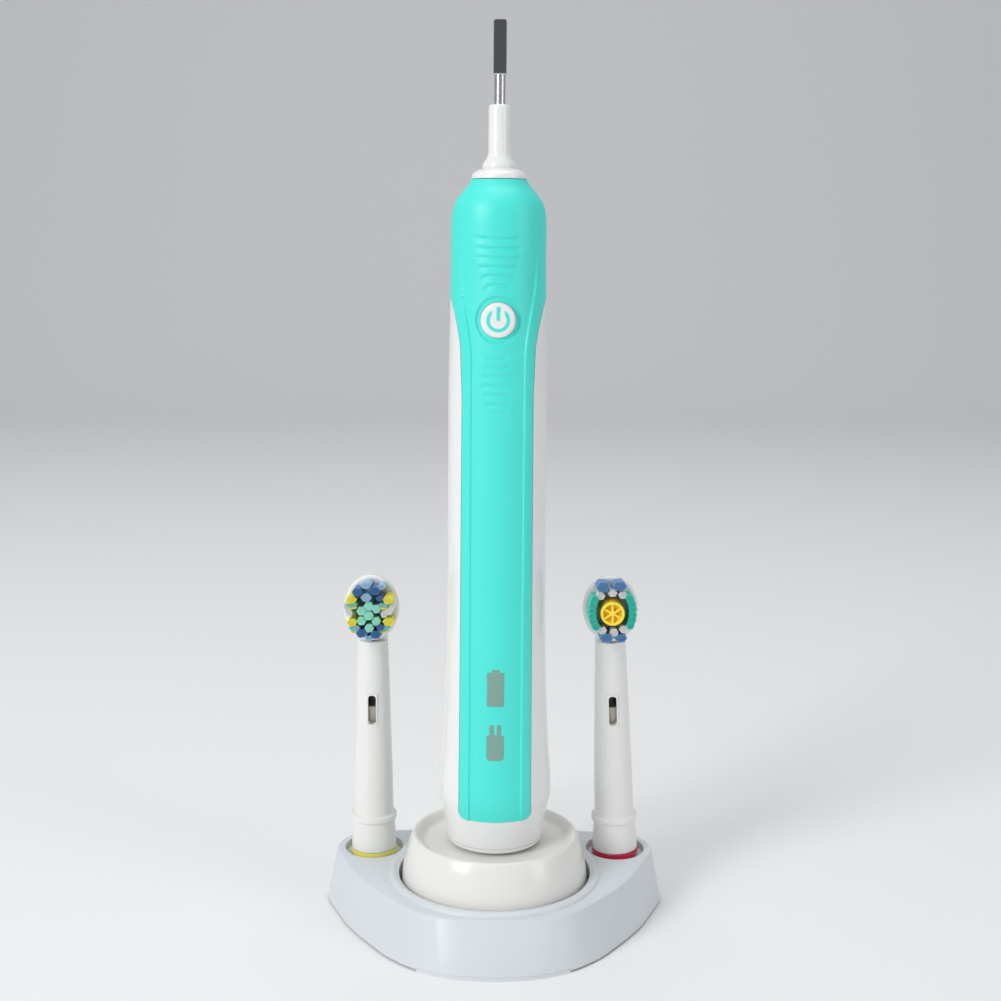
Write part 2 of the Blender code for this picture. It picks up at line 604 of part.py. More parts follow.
def make_head(side, x):
    axis = frame("head_axis_" + side, x, AXIS_Y + EAR_Y, HEAD_BOTTOM[side], HEAD_LEAN[side])
    pivot = (0, 0, HEAD_PIVOT)

    sleeve = lathe("head_sleeve_" + side, [
        (0, 67.6), (2.6, 67.6), (3.6, 64.0), (4.05, 60.0), (4.17, 56.0), (4.54, 43.6),
        (4.83, 32.4), (5.13, 21.2), (5.28, 12.0), (6.15, 11.2), (6.15, 9.8), (5.6, 8.7),
        (6.08, SLEEVE_EDGE), (4.6, SLEEVE_EDGE), (4.6, 0.2), (0, 0.2)], axis, steps=24)
    cup = lathe("cup", [(0, 1.9), (6.7, 1.9), (6.75, 0.2), (6.1, -1.3), (4.6, -2.1), (0, -2.4)],
                axis, pivot, 24, TOWARDS_FRONT)
    join(sleeve, oval(cup))
    bore = [(0, 66.7), (1.8, 66.7), (1.8, 46.0), (2.6, 45.0), (2.6, 16.5), (4.0, 15.5), (4.0, -1.0),
            (0, -1.0)]
    cut(sleeve, lathe("bore", bore, axis, steps=20))
    window = rounded_rectangle(-1.1, 1.1, WINDOW[0], WINDOW[1], 1.0)
    cut(sleeve, plate("window", [window], 1.0, 8.0, axis, turn=TOWARDS_FRONT))
    cut(sleeve, box("plate_room", (-9, -9, HEAD_PIVOT - 9.4), (9, -1.6, HEAD_PIVOT + 10), axis))
    cut(sleeve, box("pin_way", (-2.0, -5, ROD_PIN - 1.0), (2.0, -0.3, 66.9), axis))
    cut(sleeve, rod("pivot_hole", 0.9, -1.6, 5, axis, pivot, 12, TOWARDS_FRONT))
    finish(sleeve, WHITE, 0.3)

    ring_colour = {"left": (0.70, 0.66, 0.12), "right": (0.62, 0.03, 0.08)}[side]
    finish(ring("id_ring_" + side, 4.9, 6.2, 0, ID_RING_TOP, axis, steps=24), ring_colour, 0.4)
    finish(rod("head_pin_" + side, 0.6, -1.3, 3.2, axis, pivot, 12, TOWARDS_FRONT), STEEL, 0.25, 1.0)

    insert = lathe("drive_rod_" + side, [
        (0, 66.3), (1.4, 66.3), (1.4, 46.5), (1.4, 43.0), (2.2, 41.8), (2.2, 18.0), (1.6, 18.0),
        (1.6, 32.0), (0, 32.0)], axis, steps=16)
    join(insert, rod("rod_pin", 0.4, 0.5, 2.9, axis, (0, 0, ROD_PIN), 10, TOWARDS_FRONT))
    finish(insert, (0.50, 0.49, 0.45), 0.5)

    turning = frame("plate_axis_" + side, 0, 0, HEAD_PIVOT, parent=axis)
    base = lathe("head_plate_" + side, [(0, 4.5), (6.7, 4.5), (7.2, 4.1), (7.25, 2.4), (6.9, 1.9),
                                        (0, 1.9)], turning, steps=28, turn=TOWARDS_FRONT)
    oval(base)
    cut(base, box("rod_slot", (-0.75, -3.4, -4.6), (0.75, -1.0, -1.7), turning))
    cut(base, rod("plate_pivot_hole", 0.9, 1, 3.5, turning, steps=12, turn=TOWARDS_FRONT))
    finish(base, WHITE, 0.35)

    outside = [(6.3, 13.2), (6.3, 4.8)]
    if side == "left":
        bristles = lathe("bristles_left", [(0, 13.2)] + outside + [(0, 4.8)], turning, steps=24,
                         turn=TOWARDS_FRONT)
        finish(oval(bristles), (0.25, 0.60, 0.50), 0.6)
    else:
        bristles = lathe("bristles_right", outside + [(3.8, 4.8), (3.8, 13.2)], turning, steps=24,
                         turn=TOWARDS_FRONT)
        finish(oval(bristles), (0.25, 0.40, 0.75), 0.6)
        polisher = lathe("polishing_cup_right", [(0, 7.5), (2.1, 9.0), (2.5, 12.4), (3.2, 12.4),
                                                 (3.3, 8.0), (2.6, 4.8), (0, 4.8)], turning,
                         steps=20, turn=TOWARDS_FRONT)
        finish(polisher, (0.85, 0.62, 0.12), 0.5)


axis = frame("charger_axis", 0, AXIS_Y, 0)
make_stand(axis)
make_charger(axis)
make_casing(axis)
make_neck(axis)
make_base(axis)
make_electrics(axis)
make_button(axis)
make_motor(axis)
make_crank(axis)
make_drive_shaft(axis)
make_head("left", -EAR_X)
make_head("right", EAR_X)
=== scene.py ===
# Electric toothbrush on its charger, in a stand with two spare brush heads.
# Lengths are in millimetres where a name or comment says nothing else, and MM turns them into metres.
import math

import bpy
from mathutils import Matrix, Vector


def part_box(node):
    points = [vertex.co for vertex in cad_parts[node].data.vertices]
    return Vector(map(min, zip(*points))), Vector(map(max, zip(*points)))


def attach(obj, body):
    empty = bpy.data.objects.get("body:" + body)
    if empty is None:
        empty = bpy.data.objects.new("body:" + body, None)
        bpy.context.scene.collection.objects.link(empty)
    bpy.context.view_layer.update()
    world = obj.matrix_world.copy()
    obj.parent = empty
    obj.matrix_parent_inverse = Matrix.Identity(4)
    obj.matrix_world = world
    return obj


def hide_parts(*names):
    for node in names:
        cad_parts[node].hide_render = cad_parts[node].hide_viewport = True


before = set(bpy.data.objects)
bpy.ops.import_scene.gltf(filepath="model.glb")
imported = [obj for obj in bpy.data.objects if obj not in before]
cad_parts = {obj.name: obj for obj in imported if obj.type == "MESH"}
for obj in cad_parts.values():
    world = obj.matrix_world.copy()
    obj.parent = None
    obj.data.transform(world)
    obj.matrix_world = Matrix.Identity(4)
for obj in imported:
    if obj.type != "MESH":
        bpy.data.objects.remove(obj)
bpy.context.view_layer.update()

MM = 0.001


# ---- Room -------------------------------------------------------------------------------
# A pale paper sweep: one sheet that lies flat under the object and bends up behind it.
# Soft boxes hang on the left, on the right and overhead, and the camera looks down a little.

def clear():
    """Deselect everything, so that an operator acts only on what is made next."""
    if bpy.context.object and bpy.context.object.mode == 'EDIT':
        bpy.ops.object.mode_set(mode='OBJECT')
    bpy.ops.object.select_all(action='DESELECT')


def pick(*pieces):
    """Select pieces and nothing else, with the first one active."""
    clear()
    for piece in pieces:
        piece.select_set(True)
    bpy.context.view_layer.objects.active = pieces[0]


def edit_all():
    """Open the active piece for editing, with all of it selected."""
    bpy.ops.object.mode_set(mode='EDIT')
    bpy.ops.mesh.select_all(action='SELECT')


def new_material(name, colour, roughness, metallic=0.0):
    """A material and its Principled shader, with the values that are the same all over."""
    material = bpy.data.materials.new(name)
    material.use_nodes = True
    shader = material.node_tree.nodes["Principled BSDF"]
    shader.inputs["Base Color"].default_value = (*colour, 1.0)
    shader.inputs["Roughness"].default_value = roughness
    shader.inputs["Metallic"].default_value = metallic
    return material, shader


axis_low, axis_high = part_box("drive_shaft")
AXIS = Vector(((axis_low.x + axis_high.x) / 2, (axis_low.y + axis_high.y) / 2, 0.0))
AXIS.y = round(AXIS.y, 6)

clear()
bpy.ops.mesh.primitive_plane_add(size=3.0, location=(0, 0.2, 0))
sweep = bpy.context.object
sweep.name = "paper_sweep"
bpy.ops.object.transform_apply(location=True)
bpy.ops.object.mode_set(mode='EDIT')
bpy.ops.mesh.select_all(action='DESELECT')
bpy.ops.object.mode_set(mode='OBJECT')
back_edge = max(v.co.y for v in sweep.data.vertices)
for edge in sweep.data.edges:
    edge.select = all(sweep.data.vertices[i].co.y > back_edge - 0.01 for i in edge.vertices)
bpy.ops.object.mode_set(mode='EDIT')
bpy.ops.mesh.select_mode(type='EDGE')
bpy.ops.mesh.extrude_region_move(TRANSFORM_OT_translate={"value": (0, 0, 1.8)})
bpy.ops.object.mode_set(mode='OBJECT')
for edge in sweep.data.edges:
    ends = [sweep.data.vertices[i].co for i in edge.vertices]
    edge.select = all(end.y > back_edge - 0.01 and end.z < 0.01 for end in ends)
bpy.ops.object.mode_set(mode='EDIT')
bpy.ops.mesh.bevel(offset=0.6, segments=24, affect='EDGES')
bpy.ops.mesh.select_all(action='SELECT')
bpy.ops.mesh.normals_make_consistent(inside=True)
bpy.ops.object.mode_set(mode='OBJECT')
bpy.ops.object.shade_smooth()
paper, _ = new_material("sweep_paper", (0.86, 0.86, 0.86), 0.85)
sweep.data.materials.append(paper)


def soft_box(name, place, aim, size, power, tall=1.0):
    """A rectangular area light that faces a point, taller than it is wide by a factor."""
    turn = (Vector(aim) - Vector(place)).to_track_quat('-Z', 'Y').to_euler()
    bpy.ops.object.light_add(type='AREA', location=place, rotation=turn)
    lamp = bpy.context.object
    lamp.name = name
    lamp.data.shape = 'RECTANGLE'
    lamp.data.size = size
    lamp.data.size_y = size * tall
    lamp.data.energy = power


soft_box("key_left", (-0.75, -0.75, 0.65), (0, 0, 0.10), 0.42, 8.0, 1.8)
soft_box("fill_right", (0.95, -0.55, 0.45), (0, 0, 0.10), 0.34, 2.0, 2.4)
soft_box("overhead", (0.0, 0.15, 1.20), (0, 0, 0.05), 0.80, 5.0)

world = bpy.data.worlds.new("pale_room")
bpy.context.scene.world = world
world.use_nodes = True
world.node_tree.nodes["Background"].inputs["Color"].default_value = (0.93, 0.95, 1.0, 1.0)
world.node_tree.nodes["Background"].inputs["Strength"].default_value = 0.38

CAMERA_DISTANCE = 377.0
CAMERA_HEIGHT = 179.0
CAMERA_TILT = 10.0
CAMERA_ROLL = -0.42
CAMERA_ASIDE = 0.4
bpy.ops.object.camera_add(
    location=(AXIS.x + CAMERA_ASIDE * MM, AXIS.y - CAMERA_DISTANCE * MM, CAMERA_HEIGHT * MM),
    rotation=(math.radians(90 - CAMERA_TILT), math.radians(CAMERA_ROLL), 0))
camera = bpy.context.object
camera.data.sensor_width = 36.0
camera.data.lens = 54.67
camera.data.clip_start = 0.01
bpy.context.scene.camera = camera
bpy.context.scene.view_settings.view_transform = 'Standard'


# ---- Stand ------------------------------------------------------------------------------
# One moulded shell of white polystyrene: sloping skirt, narrow deck, rolled lip round the
# charger, two seats with pegs for the spare heads, open underneath, notched for the cord.

def smooth(piece, angle=32):
    """Shade round what is round, and keep edges sharper than the angle."""
    pick(piece)
    bpy.ops.object.shade_smooth_by_angle(angle=math.radians(angle))
    return piece


def combine(piece, other, operation='DIFFERENCE'):
    """Cut a piece with another, or join them, and remove the other."""
    pick(piece)
    modifier = piece.modifiers.new("combine", 'BOOLEAN')
    modifier.operation = operation
    modifier.solver = 'EXACT'
    modifier.object = other
    bpy.ops.object.modifier_apply(modifier=modifier.name)
    bpy.data.objects.remove(other, do_unlink=True)
    return piece


def rounded(profile, closed=False):
    """Points of a profile, where a third number on a point rounds its corner by that much."""
    points = []
    count = len(profile)
    for i, corner in enumerate(profile):
        here = Vector(corner[:2])
        inside = closed or 0 < i < count - 1
        if len(corner) == 2 or not inside:
            points.append(here)
            continue
        before = Vector(profile[i - 1][:2]) - here
        after = Vector(profile[(i + 1) % count][:2]) - here
        start = here + before.normalized() * min(corner[2], before.length / 2)
        end = here + after.normalized() * min(corner[2], after.length / 2)
        for step in range(6):
            t = step / 5
            points.append(start * (1 - t) ** 2 + here * 2 * t * (1 - t) + end * t ** 2)
    return points


def turned(name, profile, at=AXIS, steps=96, forward=False):
    """Turn a profile of (radius, height) in millimetres, as on a lathe. Forward, the axis
    points to the front instead of up. The profile is a closed loop unless it ends on the axis."""
    closed = profile[0][0] > 0
    points = rounded(profile, closed)
    if closed:
        points.append(points[0])

    def place(point):
        if forward:
            return Vector((point[0], -point[1], 0)) * MM + at
        return Vector((point[0], 0, point[1])) * MM + at

    clear()
    bpy.ops.mesh.primitive_plane_add(size=1.0)
    piece = bpy.context.object
    piece.name = name
    bpy.ops.object.mode_set(mode='EDIT')
    bpy.ops.mesh.select_mode(type='VERT')
    bpy.ops.mesh.select_all(action='SELECT')
    bpy.ops.mesh.merge(type='CENTER')
    bpy.ops.transform.translate(value=place(points[0]))
    for before, after in zip(points, points[1:]):
        bpy.ops.mesh.extrude_region_move(
            TRANSFORM_OT_translate={"value": place(after) - place(before)})
    bpy.ops.mesh.select_all(action='SELECT')
    bpy.ops.mesh.spin(steps=steps, angle=2 * math.pi, center=at,
                      axis=(0, 1, 0) if forward else (0, 0, 1))
    bpy.ops.mesh.select_all(action='SELECT')
    bpy.ops.mesh.remove_doubles(threshold=0.000002)
    bpy.ops.mesh.normals_make_consistent(inside=False)
    bpy.ops.object.mode_set(mode='OBJECT')
    return piece


def block(name, low, high, bevel=0.0, at=AXIS, segments=3):
    """A block between two corners in millimetres, with rounded edges."""
    low, high = Vector(low), Vector(high)
    clear()
    bpy.ops.mesh.primitive_cube_add(size=1.0, location=(low + high) / 2 * MM + at)
    piece = bpy.context.object
    piece.name = name
    piece.scale = (high - low) * MM
    bpy.ops.object.transform_apply(location=True, rotation=True, scale=True)
    if bevel:
        edit_all()
        bpy.ops.mesh.bevel(offset=bevel * MM, segments=segments, affect='EDGES')
        bpy.ops.object.mode_set(mode='OBJECT')
    return piece


def hull(name, levels, vertices=128):
    """Skin stretched over level circles, each (x, y, radius, height)."""
    clear()
    rings = []
    for x, y, radius, height in levels:
        bpy.ops.mesh.primitive_circle_add(
            vertices=vertices, radius=radius * MM, location=Vector((x, y, height)) * MM + AXIS)
        rings.append(bpy.context.object)
    pick(*rings)
    bpy.ops.object.transform_apply(location=True, rotation=True, scale=True)
    bpy.ops.object.join()
    piece = bpy.context.object
    piece.name = name
    edit_all()
    bpy.ops.mesh.convex_hull(join_triangles=False)
    bpy.ops.mesh.select_all(action='SELECT')
    bpy.ops.mesh.dissolve_limited(angle_limit=math.radians(0.05))
    bpy.ops.mesh.normals_make_consistent(inside=False)
    bpy.ops.object.mode_set(mode='OBJECT')
    return piece


def moulding_group():
    """Surface of a moulded part: faint cloudiness, uneven gloss and a fine skin texture."""
    group = bpy.data.node_groups.new("moulded_surface", 'ShaderNodeTree')
    face = group.interface
    face.new_socket("Colour", in_out='INPUT', socket_type='NodeSocketColor')
    for name, value in (("Cloudiness", 0.04), ("Gloss", 0.3), ("Unevenness", 0.06),
                        ("Skin Scale", 2500.0), ("Skin Depth", 0.05)):
        socket = face.new_socket(name, in_out='INPUT', socket_type='NodeSocketFloat')
        socket.default_value = value
    face.new_socket("Colour", in_out='OUTPUT', socket_type='NodeSocketColor')
    face.new_socket("Roughness", in_out='OUTPUT', socket_type='NodeSocketFloat')
    face.new_socket("Normal", in_out='OUTPUT', socket_type='NodeSocketVector')
    nodes, links = group.nodes, group.links
    entry = nodes.new('NodeGroupInput')
    out = nodes.new('NodeGroupOutput')
    place = nodes.new('ShaderNodeTexCoord')
    cloud = nodes.new('ShaderNodeTexNoise')
    cloud.inputs["Scale"].default_value = 45.0
    cloud.inputs["Detail"].default_value = 3.0
    links.new(place.outputs["Object"], cloud.inputs["Vector"])

    centred = nodes.new('ShaderNodeMath')
    centred.operation = 'SUBTRACT'
    centred.inputs[1].default_value = 0.5
    links.new(cloud.outputs["Fac"], centred.inputs[0])

    amount = nodes.new('ShaderNodeMath')
    amount.operation = 'MULTIPLY_ADD'
    amount.inputs[2].default_value = 1.0
    links.new(centred.outputs[0], amount.inputs[0])
    links.new(entry.outputs["Cloudiness"], amount.inputs[1])
    tint = nodes.new('ShaderNodeVectorMath')
    tint.operation = 'SCALE'
    links.new(entry.outputs["Colour"], tint.inputs[0])
    links.new(amount.outputs[0], tint.inputs["Scale"])
    links.new(tint.outputs[0], out.inputs["Colour"])

    gloss = nodes.new('ShaderNodeMath')
    gloss.operation = 'MULTIPLY_ADD'
    links.new(centred.outputs[0], gloss.inputs[0])
    links.new(entry.outputs["Unevenness"], gloss.inputs[1])
    links.new(entry.outputs["Gloss"], gloss.inputs[2])
    links.new(gloss.outputs[0], out.inputs["Roughness"])

    skin = nodes.new('ShaderNodeTexNoise')
    skin.inputs["Detail"].default_value = 2.0
    links.new(place.outputs["Object"], skin.inputs["Vector"])
    links.new(entry.outputs["Skin Scale"], skin.inputs["Scale"])
    bump = nodes.new('ShaderNodeBump')
    bump.inputs["Distance"].default_value = 0.0002
    links.new(entry.outputs["Skin Depth"], bump.inputs["Strength"])
    links.new(skin.outputs["Fac"], bump.inputs["Height"])
    links.new(bump.outputs["Normal"], out.inputs["Normal"])
    return group


MOULDING = moulding_group()


def moulded(name, colour, gloss, cloudiness=0.04, unevenness=0.06, skin=(2500.0, 0.05), coat=0.0,
            soft=0.0):
    """A material for a moulded piece. Coat is a clear gloss, soft lets light into the surface."""
    material, shader = new_material(name, colour, gloss)
    tree = material.node_tree
    surface = tree.nodes.new('ShaderNodeGroup')
    surface.node_tree = MOULDING
    surface.inputs["Colour"].default_value = (*colour, 1.0)
    surface.inputs["Cloudiness"].default_value = cloudiness
    surface.inputs["Gloss"].default_value = gloss
    surface.inputs["Unevenness"].default_value = unevenness
    surface.inputs["Skin Scale"].default_value = skin[0]
    surface.inputs["Skin Depth"].default_value = skin[1]
    tree.links.new(surface.outputs["Colour"], shader.inputs["Base Color"])
    tree.links.new(surface.outputs["Roughness"], shader.inputs["Roughness"])
    tree.links.new(surface.outputs["Normal"], shader.inputs["Normal"])
    shader.inputs["Coat Weight"].default_value = coat
    shader.inputs["Coat Roughness"].default_value = 0.08
    shader.inputs["Subsurface Weight"].default_value = soft
    shader.inputs["Subsurface Radius"].default_value = (1.0, 0.9, 0.8)
    shader.inputs["Subsurface Scale"].default_value = 0.0012
    return material


def finish_piece(piece, material, body, slot, *nodes, angle=32):
    """Give a finished piece its look, its body and the CAD nodes that it stands for."""
    piece.data.materials.clear()
    piece.data.materials.append(material)
    smooth(piece, angle)
    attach(piece, body)
    if nodes:
        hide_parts(*nodes)
    return piece


EAR_X = 32.7
EAR_Y = 14.0
FOOTPRINT = ((-EAR_X, EAR_Y, 12.7), (EAR_X, EAR_Y, 12.7), (0.0, 11.75, 17.1),
             (-20.8, 4.4, 20.0), (20.8, 4.4, 20.0), (-15.7, -0.3, 22.0), (15.7, -0.3, 22.0),
             (-7.3, -5.4, 26.0), (7.3, -5.4, 26.0), (-2.8, -4.2, 30.0), (2.8, -4.2, 30.0),
             (0.0, -3.5, 31.0))
DECK = ((-EAR_X, EAR_Y, 10.1), (EAR_X, EAR_Y, 10.1), (0.0, 11.75, 16.0),
        (-20.8, 4.6, 17.5), (20.8, 4.6, 17.5), (-15.7, 0.2, 19.4), (15.7, 0.2, 19.4),
        (-7.3, -4.6, 22.9), (7.3, -4.6, 22.9), (-6.5, -7.5, 21.4), (6.5, -7.5, 21.4),
        (0.0, -3.2, 26.1))
DECK_Z = 13.2
DECK_FRONT = -29.3
DECK_SLOPE = 0.03
SKIRT_Z = 0.6
CREST = ((0.0, 0.75), (0.15, 0.3), (0.4, 0.08), (0.8, 0.0))
WALL = 2.0


def stand_body(name, inset, bottom, top, crest):
    """The stand's outline between two heights, with its deck rising towards the back."""
    levels = [(x, y, r - inset, bottom) for x, y, r in FOOTPRINT]
    for shrink, drop in crest:
        levels += [(x, y, r - inset - shrink, top - drop) for x, y, r in DECK]
    piece = hull(name, levels)
    for vertex in piece.data.vertices:
        share = min(1.0, max(0.0, (vertex.co.z / MM - SKIRT_Z) / (top - SKIRT_Z)))
        vertex.co.z += share * DECK_SLOPE * (vertex.co.y - AXIS.y - DECK_FRONT * MM)
    return piece


stand = stand_body("stand", 0.09, SKIRT_Z, DECK_Z, CREST)
hollow = stand_body("hollow", WALL, -1.0, DECK_Z - WALL - 0.9, ((0.0, 0.0),))
combine(hollow, turned("ring_wall_keep", [(0, 30), (27.8, 30), (27.8, -5), (0, -5)]))
combine(hollow, block("front_keep", (-21, -40, -5), (21, -20, 30)))
ears = [AXIS + Vector((x, EAR_Y, 0)) * MM for x in (-EAR_X, EAR_X)]
for ear in ears:
    combine(hollow, turned("column_keep", [(0, 30), (6.5, 30), (6.5, -5), (0, -5)], ear, 48))
combine(stand, hollow)
for ear in ears:
    seat = [(0, 20), (7.9, 20), (7.9, 14.6), (7.7, 14.0, 0.2), (7.7, 12.75, 0.3), (0, 12.75)]
    combine(stand, turned("seat_cut", seat, ear, 96))
    peg = [(0, 26.0), (2.9, 26.0, 1.3), (2.9, 12.75, 0.4), (3.6, 12.6), (3.6, 11.0), (0, 11.0)]
    combine(stand, turned("peg", peg, ear, 48), 'UNION')
    combine(stand, turned("foot_well", [(0, 1.3), (5.3, 1.3), (5.3, -2), (0, -2)], ear, 48))
lip = [(24.6, 13.0), (25.4, 14.1, 0.5), (26.6, 14.6, 0.7), (27.8, 14.1, 0.5), (28.2, 13.2, 0.4),
       (28.2, 11.0), (24.6, 11.0)]
combine(stand, turned("lip", lip, steps=160), 'UNION')
combine(stand, turned("ring_hole", [(0, 30), (25.1, 30), (25.1, -5), (0, -5)], steps=160))
combine(stand, block("notch", (-4, 20, -5), (4, 40, 8), 1.0))
front_step = stand_body("front_step", -1.0, -2.0, 30.0, ((0.0, 0.0),))
combine(front_step, block("front_step_span", (-19.05, -45, -5), (19.05, -15, 1.05)), 'INTERSECT')
combine(front_step, turned("front_step_inside", [(0, 9), (28.2, 9), (28.2, -9), (0, -9)]))
combine(stand, front_step)
stand_white = moulded("stand_plastic", (0.665, 0.70, 0.722), 0.42, soft=0.06, coat=0.05)
finish_piece(stand, stand_white, "stand", "stand_white", "stand_shell", angle=28)


# ---- Stand feet -------------------------------------------------------------------------
# Three pads of pale rubber, pushed into wells in the shell: a long curved one that shows
# under the front edge, and a round one below each peg. Their soles are ribbed for grip.

pale_rubber = moulded("pale_rubber", (0.66, 0.695, 0.717), 0.55, skin=(1800.0, 0.25))
front_pad = stand_body("front_pad", 0.1, 0.0, 14.0, ((0.0, 0.0),))
combine(front_pad, block("front_pad_span", (-19, -45, -5), (19, -15, 1.0)), 'INTERSECT')
combine(front_pad, turned("front_pad_inside", [(0, 9), (28.5, 9), (28.5, -9), (0, -9)]))
finish_piece(front_pad, pale_rubber, "stand", "pale_rubber", "stand_foot_front")
for side, ear in zip(("left", "right"), ears):
    sole = [(0, 1.0), (5.0, 1.0, 0.2), (5.0, 0.0, 0.4), (4.0, 0.0), (3.8, 0.25), (3.2, 0.25),
            (3.0, 0.0), (2.0, 0.0), (1.8, 0.25), (1.2, 0.25), (1.0, 0.0), (0, 0.0)]
    foot = turned("foot_pad_" + side, sole, ear, 64)
    finish_piece(foot, pale_rubber, "stand", "pale_rubber", "stand_foot_" + side)


# ---- Charger ----------------------------------------------------------------------------
# A glossy dome of warm white ABS with a shallow dish on top, where the handle stands over
# the post. The base plate snaps in from below, and a rubber grommet lets the cord in.

charger = turned("charger_dome", [
    (0, 38.2), (3.7, 38.2, 0.9), (4.6, 36.9, 0.6), (4.7, 23.1, 0.6), (5.7, 22.4, 0.5),
    (18.5, 22.4, 0.8), (20.1, 24.3, 0.5), (20.9, 24.8, 0.35), (21.5, 24.35, 0.35), (22.4, 22.2, 1.2),
    (23.2, 19.4, 1.2), (23.9, 16.0, 1.5), (24.35, 12.0, 1.8), (24.5, 6.0, 2.0), (24.5, 0.9, 0.5),
    (23.9, 0, 0.2), (22.9, 0, 0.2), (22.9, 12.0), (22.3, 17.0), (20.6, 20.8, 0.8), (6.2, 20.8, 0.6),
    (3.2, 21.7), (3.2, 36.8, 0.3), (0, 36.8)], steps=160)
grommet_hole = turned("grommet_hole", [(0, -10), (2.7, -10), (2.7, -30), (0, -30)],
                      AXIS + Vector((0, 0, 6.0)) * MM, 48, forward=True)
combine(charger, grommet_hole)
grommet_seat = turned("grommet_seat", [(0, -23.9), (3.5, -23.9), (3.5, -30), (0, -30)],
                      AXIS + Vector((0, 0, 6.0)) * MM, 48, forward=True)
combine(charger, grommet_seat)
charger_white = moulded("charger_plastic", (0.82, 0.81, 0.77), 0.24, unevenness=0.03,
                        skin=(700.0, 0.02), coat=0.18, soft=0.05)
finish_piece(charger, charger_white, "charger", "charger_white", "charger_housing")

plate_rim = [(0, 2.0), (22.6, 2.0, 0.2), (22.6, 0.4, 0.3), (20.5, 0.4), (20.3, 0.8), (19.3, 0.8),
             (19.1, 0.4), (6.0, 0.4), (5.7, 0.9), (0, 0.9)]
base_plate = turned("charger_bottom", plate_rim, steps=128)
matt_white = moulded("matt_white_plastic", (0.74, 0.74, 0.72), 0.5, skin=(3000.0, 0.2))
finish_piece(base_plate, matt_white, "charger", "charger_white", "charger_base_plate")

black_rubber = moulded("black_rubber", (0.025, 0.025, 0.028), 0.6, skin=(2200.0, 0.25))
grommet = turned("grommet", [
    (3.2, -24.7, 0.2), (3.2, -24.2), (2.4, -24.2), (2.4, -22.5), (3.2, -22.5), (3.2, -21.5, 0.3),
    (1.3, -21.5, 0.2), (1.3, -24.7, 0.2)], AXIS + Vector((0, 0, 6.0)) * MM, 48, forward=True)
finish_piece(grommet, black_rubber, "charger", "black_rubber", "cord_grommet")


# ---- Handle casing ----------------------------------------------------------------------
# A drawn-out tube of glossy white ABS, moulded in one piece with its shoulder. A shallow
# pocket runs round it for the soft grip, and holes let in the button and the two signs.

OUTLINE = ((24.6, 12.3), (26.6, 12.65), (29.4, 13.05), (32.0, 13.6), (34.6, 14.2), (36.5, 14.55),
           (42.0, 14.35), (49.5, 13.75), (60.0, 13.25), (71.0, 12.83), (87.0, 12.5), (113.0, 12.4),
           (138.0, 12.3), (158.0, 11.95), (172.0, 11.65), (182.0, 11.6), (185.6, 10.95),
           (188.0, 9.5), (190.1, 7.65), (191.6, 6.85))


def radius_at(height):
    """Outer radius of the handle, as a smooth curve through its outline."""
    i = 0
    while i < len(OUTLINE) - 2 and height > OUTLINE[i + 1][0]:
        i += 1

    def slope(k):
        low, high = OUTLINE[max(k - 1, 0)], OUTLINE[min(k + 1, len(OUTLINE) - 1)]
        return (high[1] - low[1]) / (high[0] - low[0])

    (z0, r0), (z1, r1) = OUTLINE[i], OUTLINE[i + 1]
    t = (height - z0) / (z1 - z0)
    span = z1 - z0
    return ((2 * t ** 3 - 3 * t ** 2 + 1) * r0 + (t ** 3 - 2 * t ** 2 + t) * span * slope(i)
            + (3 * t ** 2 - 2 * t ** 3) * r1 + (t ** 3 - t ** 2) * span * slope(i + 1))


def ease(low, high, value):
    """0 below low, 1 above high, and a smooth rise between."""
    t = min(1.0, max(0.0, (value - low) / (high - low)))
    return t * t * (3 - 2 * t)


GRIP_BOTTOM = 32.1
GRIP_TOP = 191.6
CORNER = 1.8
GRIP_EDGE = ((34.0, 9.2), (140.0, 8.75), (152.0, 9.2), (155.5, 9.75), (160.4, 10.85), (163.0, 11.65),
             (166.0, 12.5), (192.0, 12.5))


def grip_half(height):
    """Half the width of the grip: a strip with round lower corners that flares at the top."""
    rise = max(0.0, GRIP_BOTTOM + CORNER - height)
    level = max(height, GRIP_EDGE[0][0])
    i = 0
    while level > GRIP_EDGE[i + 1][0]:
        i += 1
    (z0, half0), (z1, half1) = GRIP_EDGE[i], GRIP_EDGE[i + 1]
    half = half0 + (half1 - half0) * (level - z0) / (z1 - z0)
    return half - CORNER + math.sqrt(max(0.0, CORNER ** 2 - rise ** 2))


def heights(stretches):
    """Row heights, each stretch being (low, high, step)."""
    rows = []
    for low, high, step in stretches:
        count = max(1, round((high - low) / step))
        rows += [low + (high - low) * i / count for i in range(count)]
    return rows + [stretches[-1][1]]


